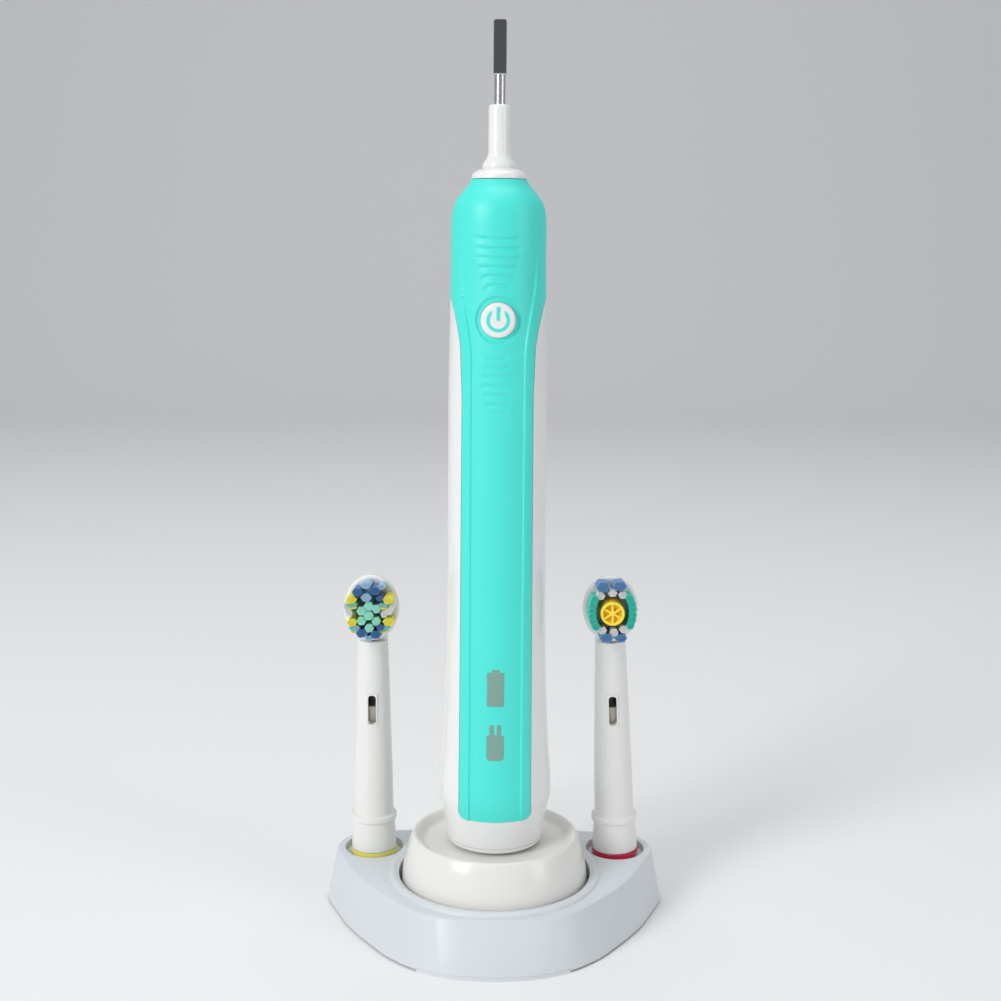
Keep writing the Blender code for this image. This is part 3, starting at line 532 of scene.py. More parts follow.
def wrapped(name, rows, columns, thickness, grow=0.0, lift=0.0, relief=None):
    """A sheet wrapped round the handle inside the grip's outline, front and back, then thickened
    inwards. It grows past the outline, and its relief is a height for each (across, up, front)."""
    clear()
    halves = []
    for front, count in ((True, columns[0]), (False, columns[1])):
        bpy.ops.mesh.primitive_grid_add(x_subdivisions=count, y_subdivisions=len(rows) - 1, size=2.0)
        half = bpy.context.object
        halves.append(half)
        for vertex in half.data.vertices:
            row = round((vertex.co.y + 1) / 2 * (len(rows) - 1))
            height = rows[row]
            inside = min(max(height, GRIP_BOTTOM), GRIP_TOP)
            radius = radius_at(inside) + lift
            reach = math.asin(min(1.0, (grip_half(inside) + grow) / radius_at(inside)))
            angle = vertex.co.x * reach
            side = 1 if front else -1
            if relief:
                across = radius * math.sin(angle)
                edge = min((reach - abs(angle)) * radius if reach < 1.57 else 9.0,
                           height - GRIP_BOTTOM)
                radius += relief(across, height, front) - 0.15 * (1 - ease(0.0, 0.3, edge))
            vertex.co = Vector((radius * math.sin(angle) * side, -radius * math.cos(angle) * side,
                                height)) * MM + AXIS
    pick(*halves)
    bpy.ops.object.join()
    piece = bpy.context.object
    piece.name = name
    edit_all()
    bpy.ops.mesh.remove_doubles(threshold=0.000002)
    bpy.ops.mesh.normals_make_consistent(inside=False)
    bpy.ops.object.mode_set(mode='OBJECT')
    wall = piece.modifiers.new("wall", 'SOLIDIFY')
    wall.thickness = thickness * MM
    wall.offset = -1.0
    bpy.ops.object.modifier_apply(modifier=wall.name)
    return piece


coarse_rows = heights(((32.0, 34.5, 0.3), (34.5, 60, 2.0), (60, 148, 8.0), (148, 170, 0.8),
                       (170, 184, 3.0), (184, 193.0, 0.8)))
outside_rows = heights(((24.6, 46, 0.8), (46, 180, 3.0), (180, 191.6, 0.5)))
casing_profile = [(radius_at(z), z) for z in reversed(outside_rows)]
casing_profile += [(11.0, 24.6), (11.0, 55.0), (9.4, 70.0), (9.4, 180.0), (8.9, 183.0), (7.9, 185.6),
                   (6.6, 187.4), (4.45, 188.6), (4.45, 191.6)]
casing = turned("casing", casing_profile, steps=128)
combine(casing, wrapped("pocket", coarse_rows, (40, 40), 2.2, grow=0.02, lift=1.1))

BUTTON_Z = 158.3
BUTTON_AT = AXIS + Vector((0, 0, BUTTON_Z)) * MM
button_hole = [(0, 20), (4.32, 20), (4.32, 5), (0, 5)]
combine(casing, turned("button_hole", button_hole, BUTTON_AT, 64, forward=True))

SIGN_DEPTH = (-16, -5)


def sign_block(name, blocks, grow=0.0, depth=SIGN_DEPTH):
    """A sign seen from the front, joined from blocks of (left, right, bottom, top, corner)."""
    sign = None
    for left, right, bottom, top, corner in blocks:
        part = block(name, (left - grow, depth[0], bottom - grow), (right + grow, depth[1], top + grow),
                     corner)
        sign = combine(sign, part, 'UNION') if sign else part
    return sign


BATTERY_SIGN = ((-2.1, 2.1, 62.5, 71.1, 0.35), (-0.88, 0.88, 70.0, 71.9, 0.2))
PLUG_SIGN = ((-2.15, 2.15, 48.6, 55.2, 0.9), (-1.4, -0.35, 54.0, 57.7, 0.2), (0.45, 1.4, 54.0, 57.7, 0.2))
SIGNS = (("battery", BATTERY_SIGN), ("plug", PLUG_SIGN))
for name, blocks in SIGNS:
    combine(casing, sign_block(name + "_hole", blocks, 0.05))
handle_white = moulded("handle_plastic", (0.84, 0.84, 0.83), 0.22, skin=(900.0, 0.03), coat=0.25,
                       soft=0.06)
finish_piece(casing, handle_white, "handle", "handle_white", "handle_casing")


# ---- Soft grip --------------------------------------------------------------------------
# Teal elastomer, moulded over the casing. It wraps the shoulder and runs down as a strip
# with a sunken centre. Thumb ribs lie above and below the dished rim of the button.

UPPER_RIBS = ((177.5, 5.4, 0.42), (175.3, 5.4, 0.22), (173.1, 5.4, 0.08), (171.0, 4.9, -0.05),
              (168.9, 4.3, -0.5), (166.8, 3.5, -1.0))
LOWER_RIBS = ((149.1, 2.7, 0.15), (146.9, 3.6, 0.15), (144.7, 4.1, 0.1), (142.4, 4.1, 0.05),
              (140.3, 3.7, 0.0), (138.0, 3.2, 0.0), (136.0, 2.6, 0.0))


def grip_relief(across, up, front):
    """Height of the grip's surface over the handle's outline."""
    side = abs(across)
    centre = 6.6 + 2.7 * ease(148, 171, up)
    fade = 1 - ease(167, 175, up)
    height = -0.45 * (1 - ease(centre - 0.12, centre + 0.12, side)) * fade
    if not front:
        return height
    dish = math.hypot(across, up - BUTTON_Z)
    height -= 0.45 * (1 - ease(5.5, 5.75, dish))
    for base, half, bend in UPPER_RIBS:
        off = up - base - bend * (across / half) ** 2
        if abs(off) < 2 and side < half + 1:
            groove = math.exp(-(off / 0.30) ** 2) + 0.35 * math.exp(-((off + 0.7) / 0.5) ** 2)
            height -= 0.40 * groove * (1 - ease(half - 0.9, half + 0.5, side))
    for base, half, bend in LOWER_RIBS:
        off = up - base - bend * (across / half) ** 2
        if abs(off) < 2 and side < half + 1:
            height -= 0.32 * math.exp(-(off / 0.45) ** 2) * (1 - ease(half - 1.2, half + 0.5, side))
    return height


fine_rows = heights(((32.1, 32.7, 0.1), (32.7, 34.5, 0.2), (34.5, 60, 1.5), (60, 134, 2.0),
                     (134, 180, 0.26), (180, 191.6, 0.45)))
grip = wrapped("soft_grip", fine_rows, (128, 24), 0.85, relief=grip_relief)
combine(grip, turned("grip_button_hole", button_hole, BUTTON_AT, 64, forward=True))
for name, blocks in SIGNS:
    combine(grip, sign_block(name + "_grip_hole", blocks, 0.03))
teal_rubber = moulded("teal_elastomer", (0.073, 0.80, 0.70), 0.42, cloudiness=0.03,
                      skin=(3200.0, 0.12), soft=0.08)
finish_piece(grip, teal_rubber, "handle", "grip_teal", "grip_shell", angle=45)


# ---- Signs on the handle ----------------------------------------------------------------
# Two windows of smoky green plastic, moulded in flush with the sunken strip: a battery and
# a plug. The indicator lamps shine through them from the board behind.

sign_green = moulded("sign_window_plastic", (0.20, 0.36, 0.31), 0.25, cloudiness=0.10,
                     skin=(1500.0, 0.05), coat=0.3)
for name, blocks, node in (("battery", BATTERY_SIGN, "battery_lens"), ("plug", PLUG_SIGN, "charge_lens")):
    sign = sign_block(name + "_sign", blocks, depth=(-16, -9.4))
    skin = [(0, 80)] + [(radius_at(z) - 0.43, z) for z in range(80, 39, -1)] + [(0, 40)]
    combine(sign, turned(name + "_skin", skin), 'INTERSECT')
    finish_piece(sign, sign_green, "handle", "sign_window", node)


# ---- Power button -----------------------------------------------------------------------
# A domed disc of glossy white plastic that presses a switch on the board. The power sign
# is a second moulding of teal, let into the dome: an open ring and a bar.

button = turned("button", [
    (0, 12.32), (1.6, 12.28), (3.0, 12.14), (3.8, 11.95, 0.3), (4.25, 11.55, 0.3), (4.27, 10.7),
    (1.1, 10.7), (1.1, 10.1, 0.2), (0, 10.1)], BUTTON_AT, 96, forward=True)
button_white = moulded("button_plastic", (0.86, 0.86, 0.85), 0.2, skin=(900.0, 0.03), coat=0.3)
finish_piece(button, button_white, "power_button", "button_white", "power_button")

ring_sign = turned("power_sign_ring", [(2.85, 12.22, 0.05), (2.85, 11.95), (2.0, 11.95), (2.0, 12.3, 0.05)],
                   BUTTON_AT, 96, forward=True)
wedge = block("ring_gap", (-1.55, -20, 0.9), (1.55, 0, 4.0), at=BUTTON_AT)
combine(ring_sign, wedge)
bar_sign = block("power_sign_bar", (-0.42, -12.36, -0.1), (0.42, -11.95, 3.2), 0.06, at=BUTTON_AT)
combine(ring_sign, bar_sign, 'UNION')
ring_sign.name = "power_sign"
finish_piece(ring_sign, teal_rubber, "power_button", "grip_teal")


# ---- Collar and neck --------------------------------------------------------------------
# The collar is a white ring that closes the top of the grip. The neck is a separate white
# moulding with a conical foot, and it carries the shaft through a rubber seal.

collar = turned("collar", [
    (4.3, 194.2, 0.2), (5.1, 193.95, 0.5), (6.3, 193.25, 0.7), (6.75, 192.5, 0.4), (6.8, 191.75, 0.15),
    (4.3, 191.75)], steps=128)
finish_piece(collar, handle_white, "handle", "handle_white", "top_collar")
neck = turned("neck", [
    (1.65, 209.3, 0.2), (2.35, 209.3, 0.25), (2.68, 208.8, 0.2), (2.68, 197.7, 0.5),
    (3.1, 196.8, 0.2), (3.8, 195.7, 0.2), (4.15, 194.9, 0.3), (4.15, 186.5), (5.8, 186.5),
    (5.8, 184.5), (3.2, 184.5), (3.2, 196.0), (1.65, 196.6)], steps=96)
finish_piece(neck, handle_white, "handle", "handle_white", "neck_sleeve")


# ---- Base of the handle -----------------------------------------------------------------
# A cap of white ABS is pressed into the foot of the casing. Its deep recess drops over the
# charger's post, and an O-ring keeps water out.

base = turned("base_cap_body", [
    (0, 41.0), (6.2, 41.0), (6.2, 33.0), (10.7, 33.0), (10.7, 31.0), (9.5, 31.0), (9.5, 29.4),
    (10.7, 29.4), (10.7, 24.45), (12.28, 24.45, 0.1), (12.15, 23.8, 0.3), (11.7, 23.25, 0.3),
    (11.0, 23.0, 0.3), (5.5, 23.0, 0.2), (5.2, 23.4, 0.2), (5.2, 39.4, 0.6), (0, 39.4)], steps=128)
finish_piece(base, handle_white, "handle", "handle_white", "base_cap")


# ---- Drive shaft ------------------------------------------------------------------------
# Ground steel. The tip is turned a little thicker, darkened by heat treatment and milled
# flat at the front, so that a brush head can't turn on it.

SHAFT_FLAT = 216.5
shaft = turned("shaft", [
    (0, 229.0), (1.4, 229.0, 0.15), (1.58, 228.7, 0.1), (1.58, SHAFT_FLAT, 0.1),
    (1.35, SHAFT_FLAT - 0.25), (1.35, 153.6, 0.2), (0, 153.6)], steps=64)
flat = block("flat_cut", (-3, -4, SHAFT_FLAT), (3, -0.85, 232), 0.12)
combine(shaft, flat)


def streaks(material, scale, detail=2.0):
    """Noise stretched by a scale along each axis."""
    nodes, links = material.node_tree.nodes, material.node_tree.links
    place = nodes.new('ShaderNodeTexCoord')
    stretch = nodes.new('ShaderNodeMapping')
    stretch.inputs["Scale"].default_value = scale
    noise = nodes.new('ShaderNodeTexNoise')
    noise.inputs["Scale"].default_value = 1.0
    noise.inputs["Detail"].default_value = detail
    links.new(place.outputs["Object"], stretch.inputs["Vector"])
    links.new(stretch.outputs["Vector"], noise.inputs["Vector"])
    return noise.outputs["Fac"]


def ridged(material, value, strength):
    """Fine relief on a material."""
    nodes, links = material.node_tree.nodes, material.node_tree.links
    bump = nodes.new('ShaderNodeBump')
    bump.inputs["Strength"].default_value = strength
    bump.inputs["Distance"].default_value = 0.0001
    links.new(value, bump.inputs["Height"])
    links.new(bump.outputs["Normal"], nodes["Principled BSDF"].inputs["Normal"])


def shaded(material, colour, value, low, high):
    """A colour made darker and lighter by a value, between two factors."""
    nodes, links = material.node_tree.nodes, material.node_tree.links
    shade = nodes.new('ShaderNodeMapRange')
    shade.inputs["To Min"].default_value = low
    shade.inputs["To Max"].default_value = high
    links.new(value, shade.inputs["Value"])
    tint = nodes.new('ShaderNodeVectorMath')
    tint.operation = 'SCALE'
    tint.inputs[0].default_value = colour
    links.new(shade.outputs["Result"], tint.inputs["Scale"])
    return tint.outputs[0]


def graded(material, along, low, high, below, colour):
    """Base colour that changes from one to the other between two places along an axis."""
    nodes, links = material.node_tree.nodes, material.node_tree.links
    place = nodes.new('ShaderNodeTexCoord')
    split = nodes.new('ShaderNodeSeparateXYZ')
    links.new(place.outputs["Object"], split.inputs["Vector"])
    share = nodes.new('ShaderNodeMapRange')
    share.inputs["From Min"].default_value = low
    share.inputs["From Max"].default_value = high
    links.new(split.outputs[along], share.inputs["Value"])
    mix = nodes.new('ShaderNodeMix')
    mix.data_type = 'RGBA'
    mix.inputs["B"].default_value = (*colour, 1.0)
    links.new(share.outputs["Result"], mix.inputs["Factor"])
    if isinstance(below, tuple):
        mix.inputs["A"].default_value = (*below, 1.0)
    else:
        links.new(below, mix.inputs["A"])
    links.new(mix.outputs["Result"], nodes["Principled BSDF"].inputs["Base Color"])


def steel(name, colour, roughness, grain_scale, tip=None):
    """Metal with fine turning marks round its upright axis. Above the tip height it is dark."""
    material, shader = new_material(name, colour, roughness, 1.0)
    nodes, links = material.node_tree.nodes, material.node_tree.links
    marks = streaks(material, (grain_scale / 12, grain_scale / 12, grain_scale), 4.0)
    spread = nodes.new('ShaderNodeMapRange')
    spread.inputs["To Min"].default_value = max(0.03, roughness - 0.08)
    spread.inputs["To Max"].default_value = roughness + 0.12
    links.new(marks, spread.inputs["Value"])
    links.new(spread.outputs["Result"], shader.inputs["Roughness"])
    ridged(material, marks, 0.15)
    tint = shaded(material, colour, marks, 0.85, 1.1)
    if tip:
        graded(material, "Z", (tip[0] - 0.15) * MM, (tip[0] + 0.15) * MM, tint, tip[1])
    else:
        links.new(tint, shader.inputs["Base Color"])
    return material


shaft_steel = steel("shaft_steel", (0.66, 0.66, 0.68), 0.22, 9000.0, (SHAFT_FLAT, (0.19, 0.195, 0.19)))
finish_piece(shaft, shaft_steel, "drive_shaft", "shaft_steel", "drive_shaft")


# ---- Spare brush heads: sleeve, ring and drive rod --------------------------------------
# Each sleeve is one white moulding: a tapered tube, a thin flange low down, a slot window and
# a round cup at the top. The coloured ring tells whose head it is. The grey rod turns inside.

HEADS = {"left": AXIS + Vector((-EAR_X, EAR_Y, 13.1)) * MM,
         "right": AXIS + Vector((EAR_X, EAR_Y, 13.3)) * MM}
LEAN = {"left": 0.0, "right": -2.3}
PIVOT = 68.9
OVAL = 1.22


def stretch_up(piece, centre, amount):
    """Make a piece that is turned about the bristle axis taller than it is wide."""
    pick(piece)
    edit_all()
    bpy.ops.transform.resize(value=(1, 1, amount), center_override=centre)
    bpy.ops.object.mode_set(mode='OBJECT')
    return piece


def tip_over(piece, side):
    """Tip a piece over about the foot of its head, as far as that head leans on its peg."""
    foot = HEADS[side]
    turn = Matrix.Rotation(math.radians(LEAN[side]), 4, 'Y')
    piece.data.transform(Matrix.Translation(foot) @ turn @ Matrix.Translation(-foot))
    return piece


ROD_BEIGE = (0.78, 0.72, 0.64)
# The dark colour above the line is painted shade in the upper part of the slot window, not a colour of the
# rod.
ROD_PAINTED_SHADE = (0.03, 0.03, 0.03)
ROD_SHADE_LINE = 41.4


def rod_plastic_painted_shade(side):
    """Beige-grey plastic, with painted shade: dark above a height that lies in the slot window."""
    material, _ = new_material("rod_plastic_painted_shade_" + side, ROD_BEIGE, 0.4)
    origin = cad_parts["drive_rod_" + side].matrix_world.translation.z
    shade_edge = HEADS[side].z + ROD_SHADE_LINE * MM - origin
    graded(material, "Z", shade_edge - 0.1 * MM, shade_edge + 0.1 * MM, ROD_BEIGE, ROD_PAINTED_SHADE)
    return material


head_white = moulded("head_plastic", (0.83, 0.83, 0.80), 0.27, skin=(1200.0, 0.04), soft=0.08, coat=0.1)
ring_colours = {"left": ("ring_yellow", (0.86, 0.80, 0.17)), "right": ("ring_red", (0.62, 0.02, 0.07))}

for side, foot in HEADS.items():
    pivot = foot + Vector((0, 0, PIVOT)) * MM
    sleeve = turned("sleeve_" + side, [
        (0, 67.6), (2.6, 67.6, 1.0), (3.6, 64.0, 1.5), (4.05, 60.0, 1.5), (4.17, 56.0, 2.0),
        (4.54, 43.6, 3.0), (4.83, 32.4, 3.0), (5.13, 21.2, 2.0), (5.25, 12.3, 0.3),
        (5.35, 11.5, 0.2), (6.15, 11.2, 0.3), (6.15, 9.8, 0.3), (5.5, 9.5, 0.2),
        (5.62, 8.7, 0.8), (6.08, 1.65, 0.15), (4.6, 1.65), (4.6, 0.2),
        (0, 0.2)], foot, 96)
    cup = turned("cup", [(0, 1.9), (6.7, 1.9), (6.75, 0.2, 1.0), (6.1, -1.3, 1.0), (4.6, -2.1, 1.0),
                         (0, -2.4)], pivot, 96, forward=True)
    combine(sleeve, stretch_up(cup, pivot, OVAL), 'UNION')
    rim = block("window_rim", (-1.55, -4.72, 36.7), (1.55, -3.4, 45.7), 0.35, at=foot)
    combine(sleeve, rim, 'UNION')
    bore = [(0, 66.7), (1.8, 66.7), (1.8, 46.0), (2.6, 45.0), (2.6, 16.5), (4.0, 15.5), (4.0, -1.0),
            (0, -1.0)]
    combine(sleeve, turned("bore", bore, foot, 48))
    window = block("window", (-1.05, -9, 37.2), (1.05, -1, 45.2), 0.9, at=foot, segments=5)
    combine(sleeve, window)
    combine(sleeve, block("plate_room", (-9, -9, PIVOT - 9.4), (9, -1.6, PIVOT + 10), at=foot))
    combine(sleeve, block("pin_way", (-2.0, -5, PIVOT - 4.2), (2.0, -0.3, 66.9), at=foot))
    finish_piece(tip_over(sleeve, side), head_white, "head_" + side, "head_white", "head_sleeve_" + side)

    slot_name, colour = ring_colours[side]
    ring = turned("colour_ring_" + side, [
        (6.2, 1.5, 0.2), (6.2, 0.0, 0.3), (4.9, 0.0, 0.2), (4.9, 1.5, 0.1)], foot, 96)
    ring_plastic = moulded(slot_name + "_plastic", colour, 0.3, coat=0.1, soft=0.05)
    finish_piece(tip_over(ring, side), ring_plastic, "head_" + side, slot_name, "id_ring_" + side)

    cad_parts["drive_rod_" + side].data.materials.clear()
    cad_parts["drive_rod_" + side].data.materials.append(rod_plastic_painted_shade(side))


# ---- Bristle plates ---------------------------------------------------------------------
# A small oval plate of white plastic carries the tufts and turns to and fro on a steel pin.
# Its edge is rounded, and its back is relieved for the pin of the drive rod.

for side, foot in HEADS.items():
    pivot = foot + Vector((0, 0, PIVOT)) * MM
    plate = turned("tuft_plate_" + side, [(0, 4.5), (6.8, 4.5, 0.5), (7.22, 4.0, 0.4), (7.25, 2.4, 0.4),
                                          (6.8, 1.9, 0.3), (0, 1.9)], pivot, 96, forward=True)
    stretch_up(plate, pivot, OVAL)
    combine(plate, block("rod_slot", (-0.75, -3.4, -4.6), (0.75, -1.0, -1.7), at=pivot))
    pin_hole = turned("pin_hole", [(0, 3.5), (0.9, 3.5), (0.9, 1), (0, 1)], pivot, 24, forward=True)
    combine(plate, pin_hole)
    finish_piece(tip_over(plate, side), head_white, "plate_" + side, "head_white", "head_plate_" + side)


# ---- Tufts ------------------------------------------------------------------------------
# Nylon filaments, stapled into the plate in tufts. Every filament tapers a little and ends
# in a rounded tip. The colours and the places of the tufts differ between the two heads.

FILAMENT_R = 0.135
TUFT_RINGS = 3
PACKING = 2.0


def filament_tuft():
    """One upright tuft of filaments, a millimetre long, to be copied and stretched."""
    clear()
    bpy.ops.mesh.primitive_cone_add(vertices=6, radius1=FILAMENT_R * MM, radius2=FILAMENT_R * 0.92 * MM,
                                    depth=1.0 * MM, location=(0, 0, 0.5 * MM))
    first = bpy.context.object
    bpy.ops.object.transform_apply(location=True)
    bpy.ops.object.mode_set(mode='EDIT')
    bpy.ops.mesh.select_all(action='DESELECT')
    bpy.ops.object.mode_set(mode='OBJECT')
    for face in first.data.polygons:
        face.select = face.center.z > 0.9 * MM
    bpy.ops.object.mode_set(mode='EDIT')
    bpy.ops.mesh.select_mode(type='FACE')
    bpy.ops.mesh.extrude_region_move(TRANSFORM_OT_translate={"value": (0, 0, 0.012 * MM)})
    bpy.ops.transform.resize(value=(0.86, 0.86, 1))
    bpy.ops.object.mode_set(mode='OBJECT')
    copies = [first]
    pitch = FILAMENT_R * PACKING
    for ring in range(1, TUFT_RINGS + 1):
        for i in range(6 * ring):
            corner, along = divmod(i, ring)
            start = Vector((math.cos(math.pi / 3 * corner), math.sin(math.pi / 3 * corner), 0))
            end = Vector((math.cos(math.pi / 3 * (corner + 1)), math.sin(math.pi / 3 * (corner + 1)), 0))
            spot = (start * (ring - along) + end * along) * pitch * MM
            copy = first.copy()
            copy.data = first.data.copy()
            copy.location = spot
            copy.scale.z = 1.0 - 0.012 * ((i * 7 + ring * 3) % 5)
            bpy.context.collection.objects.link(copy)
            copies.append(copy)
    pick(*copies)
    bpy.ops.object.transform_apply(location=True, rotation=True, scale=True)
    bpy.ops.object.join()
    tuft = bpy.context.object
    tuft.name = "master_tuft"
    return tuft


master_tuft = filament_tuft()


def nylon(name, colour):
    """Filament colour, a little lighter and darker along its length."""
    material, shader = new_material(name, colour, 0.35)
    tint = shaded(material, colour, streaks(material, (3500.0, 250.0, 3500.0)), 0.88, 1.35)
    material.node_tree.links.new(tint, shader.inputs["Base Color"])
    shader.inputs["Subsurface Weight"].default_value = 0.35
    shader.inputs["Subsurface Scale"].default_value = 0.0008
    shader.inputs["Subsurface Radius"].default_value = (1.0, 1.0, 1.0)
    return material


NYLON = {
    "navy": nylon("nylon_navy", (0.06, 0.19, 0.42)),
    "blue": nylon("nylon_blue", (0.40, 0.62, 0.82)),
    "mid_blue": nylon("nylon_mid_blue", (0.12, 0.28, 0.52)),
    "mint": nylon("nylon_mint", (0.42, 0.94, 0.76)),
    "green": nylon("nylon_green", (0.05, 0.62, 0.49)),
    "yellow": nylon("nylon_yellow", (0.94, 0.84, 0.09)),
    "lime": nylon("nylon_lime", (0.86, 0.88, 0.22)),
    "aqua": nylon("nylon_aqua", (0.25, 0.72, 0.76)),
    "white": nylon("nylon_white", (0.90, 0.90, 0.88)),
}
PLATE_FACE = 4.45
FIELD_RISE = 0.7
FIELD_TILT = 6.0
TUFT_SPREAD = 1.34


def plant(side, colour, tufts):
    """Plant tufts of one colour, each (across, up, width, height, length, lean sideways)."""
    pivot = HEADS[side] + Vector((0, 0, PIVOT)) * MM
    tuft_radius = FILAMENT_R * (PACKING * TUFT_RINGS + 1)
    planted = []
    for across, up, width, height, length, lean in tufts:
        tuft = master_tuft.copy()
        tuft.data = master_tuft.data.copy()
        spread = TUFT_SPREAD / 2 / tuft_radius
        tuft.scale = (width * spread, height * spread, length)
        tuft.rotation_euler = (math.radians(90 - FIELD_TILT), math.radians(lean), 0)
        tuft.location = pivot + Vector((across, -PLATE_FACE, up + FIELD_RISE)) * MM
        bpy.context.collection.objects.link(tuft)
        planted.append(tuft)
    pick(*planted)
    bpy.ops.object.transform_apply(location=True, rotation=True, scale=True)
    if len(planted) > 1:
        bpy.ops.object.join()
    piece = bpy.context.object
    piece.name = "tufts_" + colour + "_" + side
    finish_piece(tip_over(piece, side), NYLON[colour], "plate_" + side, "bristle_nylon", "bristles_" + side)
    return piece


plant("left", "mint", [(0.0, 0.9, 1.9, 1.9, 8.0, 0), (-1.9, -0.4, 1.8, 1.8, 8.0, 0),
                       (2.0, 0.2, 1.8, 1.8, 8.0, 0), (0.0, -1.6, 1.9, 1.9, 8.0, 0),
                       (-1.9, -3.0, 1.8, 1.8, 8.0, 0), (1.9, -3.1, 1.8, 1.8, 8.0, 0),
                       (0.1, -4.9, 1.9, 1.8, 8.0, 0)])
plant("left", "navy", [(-2.9, 4.6, 2.2, 1.7, 8.4, 0), (1.6, 5.0, 2.2, 1.7, 8.4, 0),
                       (-1.9, -6.3, 2.2, 1.8, 8.4, 0), (1.8, -6.6, 2.2, 1.8, 8.4, 0),
                       (2.9, 3.0, 1.4, 1.2, 8.4, 0), (3.0, -4.7, 1.6, 1.4, 8.4, 0)])
plant("left", "blue", [(-0.7, 6.4, 2.0, 1.5, 8.2, 0), (-0.6, 3.2, 2.2, 1.7, 8.2, 0),
                       (3.3, 6.0, 1.5, 1.1, 8.2, 0), (0.0, -7.6, 1.6, 1.2, 8.2, 0),
                       (-3.2, -5.0, 1.4, 1.4, 8.2, 0)])
plant("left", "yellow", [(-4.4, 2.6, 2.3, 1.7, 8.4, -4), (5.0, 2.6, 2.3, 1.7, 8.4, 4),
                         (-4.3, -3.4, 2.2, 1.6, 8.4, -4), (5.0, -3.2, 2.3, 1.6, 8.4, 4)])
plant("left", "aqua", [(-4.3, 1.3, 2.4, 0.9, 8.0, -4), (3.9, 1.3, 2.0, 0.9, 8.0, 4),
                       (-4.0, -4.9, 1.9, 0.9, 8.0, -4), (3.9, -4.8, 2.1, 0.9, 8.0, 4)])
plant("left", "lime", [(-4.1, 0.5, 2.0, 0.7, 7.8, -4), (3.7, 0.4, 1.8, 0.7, 7.8, 4),
                       (-3.8, -5.8, 1.7, 0.7, 7.8, -4), (3.5, -5.7, 1.9, 0.7, 7.8, 4)])
plant("left", "white", [(-5.2, -0.9, 1.6, 1.8, 7.6, -3), (5.2, -0.3, 1.5, 1.8, 7.6, 3),
                        (5.9, 0.9, 1.2, 1.6, 7.6, 3), (3.9, -1.2, 1.4, 1.6, 7.6, 0),
                        (-5.9, 0.6, 1.2, 1.6, 7.6, -3)])

plant("right", "mid_blue", [(-2.3, 6.3, 2.8, 2.2, 8.0, 0), (2.0, 6.4, 2.8, 2.0, 8.0, 0),
                            (-1.7, -7.2, 2.8, 1.9, 8.0, 0), (2.0, -7.4, 2.4, 1.8, 8.0, 0)])
plant("right", "white", [(-2.9, 3.9, 1.7, 1.6, 7.4, 0), (0.1, 4.6, 1.9, 1.6, 7.4, 0),
                         (2.7, 4.0, 1.7, 1.6, 7.4, 0), (-2.7, -5.2, 1.8, 1.6, 7.4, 0),
                         (0.3, -5.9, 1.7, 1.7, 7.4, 0), (2.8, -5.1, 1.8, 1.6, 7.4, 0)])
side_arc = [(5.2 - 0.06 * up * up, up) for up in (-3.6, -2.2, -0.8, 0.6, 2.0, 3.4)]
plant("right", "green", [(sign * x, up - 0.4, 1.7, 1.8, 8.2, sign * 3) for sign in (-1, 1)
                         for x, up in side_arc])
bpy.data.objects.remove(master_tuft, do_unlink=True)


# ---- Polishing cup ----------------------------------------------------------------------
# A soft yellow elastomer cup in the middle of the right head. Six ribs stand inside it and
# hold paste against the tooth.

cup_at = HEADS["right"] + Vector((0, 0, PIVOT + 0.7)) * MM
polisher = turned("polisher", [
    (0, 11.0), (2.3, 11.2, 0.3), (2.45, 12.4, 0.25), (3.1, 12.4, 0.3), (3.25, 8.0, 0.5), (2.7, 4.6),
    (0, 4.6)], cup_at, 96, forward=True)
for turn in range(3):
    fin = block("fin", (-2.5, -12.1, -0.28), (2.5, -10.7, 0.28), 0.12, at=Vector((0, 0, 0)))
    pick(fin)
    fin.rotation_euler = (0, math.radians(60 * turn + 30), 0)
    fin.location = cup_at
    bpy.ops.object.transform_apply(location=True, rotation=True, scale=True)
    combine(polisher, fin, 'UNION')
knob = turned("knob", [(0, 12.3), (0.7, 12.2, 0.3), (0.9, 10.7), (0, 10.7)], cup_at, 32, forward=True)
combine(polisher, knob, 'UNION')


def cup_rubber():
    """Yellow rubber with painted shade: deeper orange towards the floor of the cup."""
    material, shader = new_material("polisher_elastomer", (0.94, 0.66, 0.04), 0.4)
    # The deeper orange at the floor of the cup is painted shade in the recess.
    graded(material, "Y", cup_at.y - 11.1 * MM, cup_at.y - 12.2 * MM, (0.96, 0.56, 0.03), (0.96, 0.78, 0.05))
    shader.inputs["Subsurface Weight"].default_value = 0.2
    shader.inputs["Subsurface Scale"].default_value = 0.001
    return material


tip_over(polisher, "right")
finish_piece(polisher, cup_rubber(), "plate_right", "polisher_rubber", "polishing_cup_right")


# ---- Works inside -----------------------------------------------------------------------
# The chassis, cell, boards, coils, motor and gears keep their CAD shapes. Each gets the
# surface of its real material: drawn steel, wound wire, solder mask, ferrite, acetal.

def wound(name, colour, pitch):
    """Enamelled wire wound in layers: fine ridges, one for each turn, with painted shade in the grooves
    between them.
    """
    material, shader = new_material(name, colour, 0.3, 0.9)
    nodes, links = material.node_tree.nodes, material.node_tree.links
    place = nodes.new('ShaderNodeTexCoord')
    turns = nodes.new('ShaderNodeTexWave')
    turns.bands_direction = 'Z'
    turns.inputs["Scale"].default_value = 1 / (pitch * MM) / 6.28
    turns.inputs["Distortion"].default_value = 0.3
    links.new(place.outputs["Object"], turns.inputs["Vector"])
    # The colour is darker in the grooves between turns: painted shade.
    links.new(shaded(material, colour, turns.outputs["Fac"], 0.45, 1.1), shader.inputs["Base Color"])
    ridged(material, turns.outputs["Fac"], 0.6)
    return material


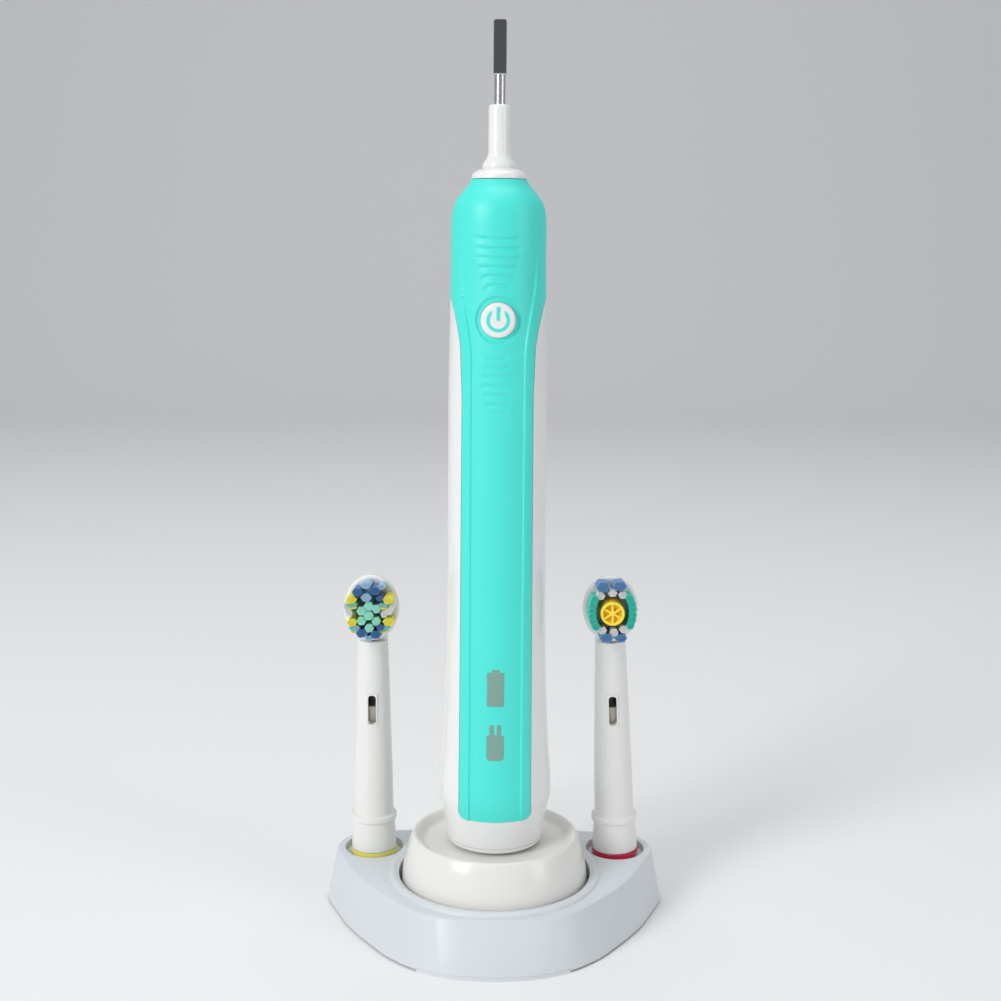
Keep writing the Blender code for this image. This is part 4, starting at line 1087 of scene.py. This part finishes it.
def circuit(name):
    """Green solder mask over a pattern of copper tracks."""
    material, shader = new_material(name, (0.01, 0.14, 0.05), 0.35)
    nodes, links = material.node_tree.nodes, material.node_tree.links
    place = nodes.new('ShaderNodeTexCoord')
    tracks = nodes.new('ShaderNodeTexBrick')
    tracks.inputs["Scale"].default_value = 300.0
    tracks.inputs["Mortar Size"].default_value = 0.06
    tracks.inputs["Color1"].default_value = (0.008, 0.12, 0.04, 1.0)
    tracks.inputs["Color2"].default_value = (0.012, 0.17, 0.06, 1.0)
    tracks.inputs["Mortar"].default_value = (0.05, 0.30, 0.10, 1.0)
    turn = nodes.new('ShaderNodeMapping')
    turn.inputs["Rotation"].default_value = (math.radians(90), 0, 0)
    links.new(place.outputs["Object"], turn.inputs["Vector"])
    links.new(turn.outputs["Vector"], tracks.inputs["Vector"])
    links.new(tracks.outputs["Color"], shader.inputs["Base Color"])
    return material


motor_steel = steel("motor_steel", (0.58, 0.58, 0.60), 0.3, 4000.0)
plain_steel = steel("plain_steel", (0.64, 0.64, 0.66), 0.22, 9000.0)
brass = steel("brass", (0.76, 0.57, 0.24), 0.28, 6000.0)
bronze = steel("sintered_bronze", (0.50, 0.36, 0.16), 0.45, 2500.0)
nickel = steel("nickel_strip", (0.68, 0.65, 0.58), 0.25, 3000.0)
copper = wound("copper_wire", (0.75, 0.32, 0.13), 0.25)
solder_mask = circuit("solder_mask")
ferrite = moulded("ferrite", (0.06, 0.055, 0.055), 0.5, 0.2, skin=(1500.0, 0.4))
frame_nylon = moulded("glass_filled_nylon", (0.09, 0.10, 0.11), 0.5, 0.25, skin=(900.0, 0.3))
ivory = moulded("bobbin_plastic", (0.72, 0.70, 0.63), 0.45, skin=(2000.0, 0.15))
acetal = moulded("gear_acetal", (0.76, 0.74, 0.66), 0.4, skin=(2500.0, 0.1), soft=0.1)
motor_black = moulded("motor_end_plastic", (0.03, 0.03, 0.033), 0.45, skin=(2000.0, 0.2))
wrap = moulded("battery_wrap_film", (0.03, 0.20, 0.13), 0.25, 0.15, skin=(400.0, 0.06), coat=0.3)
lamp_resin = moulded("lamp_resin", (0.86, 0.86, 0.76), 0.15, coat=0.4, soft=0.2)

INSIDE = {
    "shaft_seal": black_rubber, "upper_bush": bronze, "lower_bush": bronze, "base_seal": black_rubber,
    "chassis": frame_nylon, "battery_cell": wrap, "battery_contact_top": nickel,
    "battery_contact_bottom": nickel, "main_board": solder_mask, "tact_switch": nickel,
    "led_battery": lamp_resin, "led_charge": lamp_resin, "coil_bobbin": ivory, "pickup_coil": copper,
    "motor_can": motor_steel, "motor_magnet": ferrite, "motor_end_cap": motor_black,
    "gear_frame": motor_steel, "crank_axle": plain_steel, "rocker_arm": motor_steel,
    "crank_gear": acetal, "motor_shaft": plain_steel, "motor_armature": copper, "motor_pinion": brass,
    "charger_core": ferrite, "charger_coil": copper, "charger_board": solder_mask,
    "head_pin_left": plain_steel, "head_pin_right": plain_steel,
}
for node, material in INSIDE.items():
    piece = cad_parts[node]
    piece.data.materials.clear()
    piece.data.materials.append(material)
